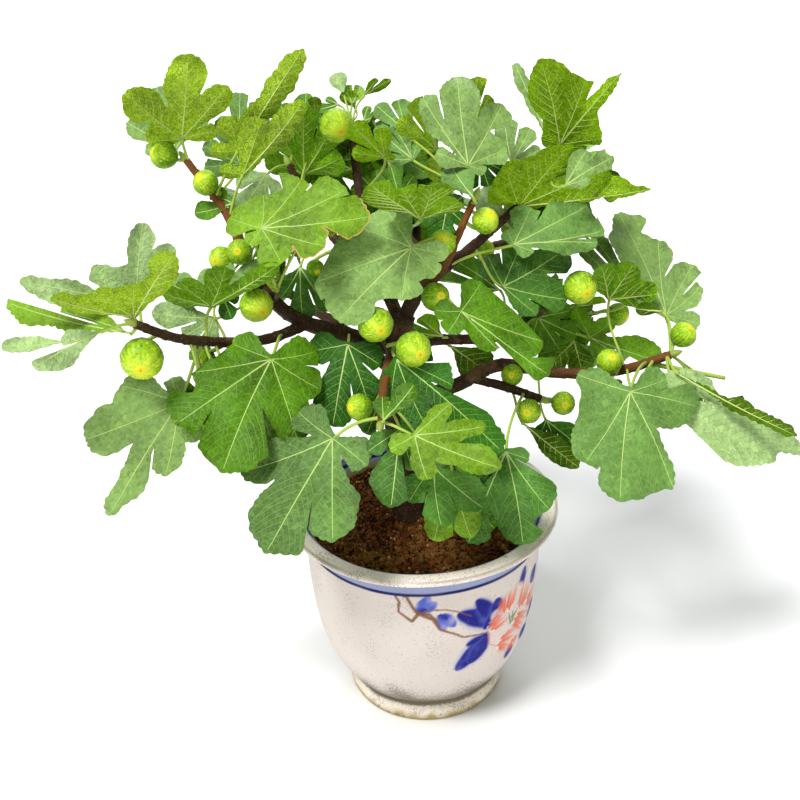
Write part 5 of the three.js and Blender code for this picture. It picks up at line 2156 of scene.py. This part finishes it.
class FIGTREE_OT_pot(bpy.types.Operator):
    """Makes the glazed pot with its painted spray"""

    bl_idname = "figtree.pot"
    bl_label = "Pot"

    def execute(self, context):
        shape = Shape()
        outline = pot_outline(POT_STEP)
        rows, level = np.arange(len(outline)), outline[:, 1]
        low, high = PAINTED_ROWS
        painted = (rows < int(np.argmax(level))) & (level > low) & (level < high)
        kept = painted | ((level > high) & (rows % 2 == 0)) | (rows % 3 == 0)
        kept[[0, -1]] = True
        outline = outline[kept]
        points = add_pot_body(shape, outline, self.turns())
        self.close(shape, points)
        piece = shape.build("glazed_pot", [glaze_finish()], piece_map=True)
        places = np.vstack(shape.points)
        crest = int(np.argmax(outline[:, 1]))
        past_rim = outline[crest:, 0] < length_of("mouth_radius") + 1.2
        inside = np.zeros(len(places), bool)
        rows, columns = points.shape[:2]
        inside[(crest + int(np.argmax(past_rim))) * columns:] = True
        inside[rows * columns: (rows + 2) * columns + 1] = False  # the underside
        colours = glaze_colours(places, inside)
        carry(piece, "paint", "FLOAT_COLOR", np.hstack([colours, np.ones((len(colours), 1))]))
        carry(piece, "dirt", "FLOAT", dirt_shares(places, inside))
        finish_piece(piece, ["pot"])
        return {"FINISHED"}

    @staticmethod
    def turns():
        """Angles round the pot: close together where the painting is."""
        found = []
        for middle in PAINTINGS:
            first, last = PAINTED_TURNS
            found.append(np.arange(first, last, FINE_TURN) + middle)
            found.append(np.arange(last, math.pi + first, WIDE_TURN) + middle)
        return np.concatenate(found)

    @staticmethod
    def close(shape, points):
        """The underside, and the inner wall below the soil with the pot's floor."""
        columns = points.shape[1]
        foot, brim = points[0], points[-1]
        quads = wall_quads(2, columns - 1, seam=1)
        k = np.arange(columns, 2 * columns - 1)
        hub = fan(2 * columns, k, k + 1)
        lift = [0, 0, FOOT_RECESS]
        below = np.vstack([foot, foot * [0.93, 0.93, 1] + lift, [lift]])
        spread = np.array([0.15, 0.86]) + 0.13 * below[:, :2] / 100
        faces = [halved(quads[:, [1, 0, 3, 2]]), hub[:, [0, 2, 1]]]
        shape.add(below, np.vstack(faces), 0, spread)
        low = brim * [0.62, 0.62, 1]
        low[:, 2] = POT_FLOOR
        inner = np.vstack([brim, low, [[0, 0, POT_FLOOR]]])
        spread = np.array([0.5, 0.86]) + 0.13 * inner[:, :2] / 140
        shape.add(inner, np.vstack([halved(quads), hub]), 0, spread)


class FIGTREE_OT_soil(bpy.types.Operator):
    """Makes the soil, with its crumbs and grit"""

    bl_idname = "figtree.soil"
    bl_label = "Soil"

    def execute(self, context):
        shape = Shape()
        edge = NECK - length_of("wall") + TUCK
        rings = np.append(np.arange(2.0, edge, SOIL_STEP), edge)
        turns = even_turns(SOIL_SIDES)
        x, y = rings[:, None] * np.cos(turns), rings[:, None] * np.sin(turns)
        top = np.stack([x, y, soil_height(x, y)], -1).reshape(-1, 3)
        depth = length_of("soil_level") - SOIL_DEPTH
        under = np.stack([edge * np.cos(turns), edge * np.sin(turns),
                          np.full(SOIL_SIDES, depth)], -1)
        centre = [[0, 0, soil_height(np.zeros(1), np.zeros(1))[0]], [0, 0, depth]]
        points = np.vstack([top, under, centre])
        triangles = halved(wall_quads(len(rings) + 1, SOIL_SIDES)[:, [0, 3, 2, 1]])
        k, last = np.arange(SOIL_SIDES), len(rings) * SOIL_SIDES
        after = (k + 1) % SOIL_SIDES
        caps = [fan(len(points) - 2, k, after), fan(len(points) - 1, last + after, last + k)]
        triangles = np.vstack([triangles, *caps])
        middle = points[triangles].mean(1)[:, :2]
        patch = ripple(middle, 60, 24) + 0.6 * ripple(middle, 14, 25) - middle[:, 1] / 70
        random = np.random.default_rng(31)
        patch = patch + random.uniform(-0.9, 0.9, len(patch))
        looks = np.where(patch > 1.0, 4, np.where(patch < -0.7, 1, 0))
        shape.add(points, triangles, looks)
        for number in range(CRUMBS):
            radius = edge * math.sqrt(random.uniform(0.01, 0.98))
            turn = random.uniform(0, 2 * math.pi)
            size = random.uniform(*CRUMB_SIZES) * (CLOD if number % CLOD_EVERY == 0 else 1)
            radius = min(radius, edge - size - 0.8)
            x, y = radius * math.cos(turn), radius * math.sin(turn)
            height = soil_height(np.array([x]), np.array([y]))[0] + size * 0.3
            sandy = ripple(np.array([[x, y]]), 60, 24)[0] - y / 70 > 0.6
            tone = int(random.choice(len(SOILS), p=TONES_SANDY if sandy else TONES_DARK))
            crumb(shape, np.array([x, y, height]), size, random, tone)
        finishes = [skin_finish(name, 0.92, 900, 0.0012, 0.1) for name in SOILS]
        piece = shape.build("potting_soil", finishes, smooth=False)
        finish_piece(piece, ["soil"])
        return {"FINISHED"}


FLOOR = 40.0  # half the side of the floor, in metres
WORLD_GLOW = 0.36
SKY_WAY = (0.40, 0.36, -1)
SKY_SPREAD, SKY_POWER = math.radians(20), 3.3
LAMPS = [  # name, place and size in metres, power in watts and colour
    ("back", (0.4, 3.4, 2.6), 3.0, 90, (0.95, 0.98, 1.0)),
    ("front", (-0.2, -3.2, 0.9), 2.4, 30, (1.0, 0.99, 0.96)),
]


class FIGTREE_OT_stage(bpy.types.Operator):
    """Makes the floor, the lights and the camera"""

    bl_idname = "figtree.stage"
    bl_label = "Stage"

    def execute(self, context):
        scene = context.scene
        mesh = bpy.data.meshes.new("floor")
        corners = [(x * FLOOR, y * FLOOR, 0) for x, y in ((-1, -1), (1, -1), (1, 1), (-1, 1))]
        mesh.from_pydata(corners, [], [(0, 1, 2, 3)])
        material, shader = new_finish("floor", (0.86, 0.86, 0.86), 0.85)
        uneven_roughness(material.node_tree, shader, 2, 0.8, 0.9)
        mesh.materials.append(material)
        floor = bpy.data.objects.new("floor", mesh)
        scene.collection.objects.link(floor)
        world = bpy.data.worlds.new("world")
        world.use_nodes = True
        tree = world.node_tree
        rays = tree.nodes.new("ShaderNodeLightPath")
        glow = tree.nodes.new("ShaderNodeMapRange")
        glow.inputs["To Min"].default_value = WORLD_GLOW
        glow.inputs["To Max"].default_value = 1.0
        tree.links.new(rays.outputs["Is Camera Ray"], glow.inputs["Value"])
        tree.nodes["Background"].inputs["Color"].default_value = (1, 1, 1, 1)
        tree.links.new(glow.outputs["Result"], tree.nodes["Background"].inputs["Strength"])
        scene.world = world
        sky = bpy.data.lights.new("sky", "SUN")
        sky.angle = SKY_SPREAD
        sky.energy = SKY_POWER
        rig = bpy.data.objects.new("sky", sky)
        rig.rotation_euler = Vector(SKY_WAY).to_track_quat("-Z", "Y").to_euler()
        scene.collection.objects.link(rig)
        for lamp in LAMPS:
            self.light(*lamp)
        camera = bpy.data.cameras.new("camera")
        camera.sensor_width = SENSOR
        camera.lens = VIEW_FOCAL / VIEW_FRAME * SENSOR
        camera.clip_end = 100
        rig = bpy.data.objects.new("camera", camera)
        turn = Matrix([view.right, view.up, -view.ahead]).transposed().to_4x4()
        rig.matrix_world = Matrix.Translation(Vector(VIEW_PLACE * MM)) @ turn
        scene.collection.objects.link(rig)
        scene.camera = rig
        scene.view_settings.view_transform = "Standard"
        return {"FINISHED"}

    def light(self, name, place, size, power, colour):
        lamp = bpy.data.lights.new(name, "AREA")
        lamp.size = size
        lamp.energy = power
        lamp.color = colour
        rig = bpy.data.objects.new(name, lamp)
        rig.location = place
        aim = Vector((0, 0, 0.4)) - Vector(place)
        rig.rotation_euler = aim.to_track_quat("-Z", "Y").to_euler()
        bpy.context.scene.collection.objects.link(rig)


class FIGTREE_PT_panel(bpy.types.Panel):
    """Sizes of the plant and the steps that make it"""

    bl_idname = "FIGTREE_PT_panel"
    bl_label = "Fig Tree in a Pot"
    bl_space_type = "VIEW_3D"
    bl_region_type = "UI"
    bl_category = "Fig Tree"

    def draw(self, context):
        for group in (context.scene.figtree_sizes, context.scene.figtree_colours):
            for name in type(group).__annotations__:
                self.layout.prop(group, name)
        for step in STEPS:
            self.layout.operator(step.bl_idname)


STEPS = (
    FIGTREE_OT_limbs, FIGTREE_OT_leaves, FIGTREE_OT_stalks, FIGTREE_OT_figs, FIGTREE_OT_pot,
    FIGTREE_OT_soil, FIGTREE_OT_stage)
CLASSES = (FIGTREE_PG_sizes, FIGTREE_PG_colours, *STEPS, FIGTREE_PT_panel)


def register():
    for each in CLASSES:
        bpy.utils.register_class(each)
    bpy.types.Scene.figtree_sizes = PointerProperty(type=FIGTREE_PG_sizes)
    bpy.types.Scene.figtree_colours = PointerProperty(type=FIGTREE_PG_colours)


def unregister():
    del bpy.types.Scene.figtree_colours
    del bpy.types.Scene.figtree_sizes
    for each in reversed(CLASSES):
        bpy.utils.unregister_class(each)


def main():
    register()
    bpy.ops.figtree.limbs()
    bpy.ops.figtree.leaves()
    bpy.ops.figtree.stalks()
    bpy.ops.figtree.figs()
    bpy.ops.figtree.pot()
    bpy.ops.figtree.soil()
    bpy.ops.figtree.stage()
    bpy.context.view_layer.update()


if __name__ == "__main__":
    main()
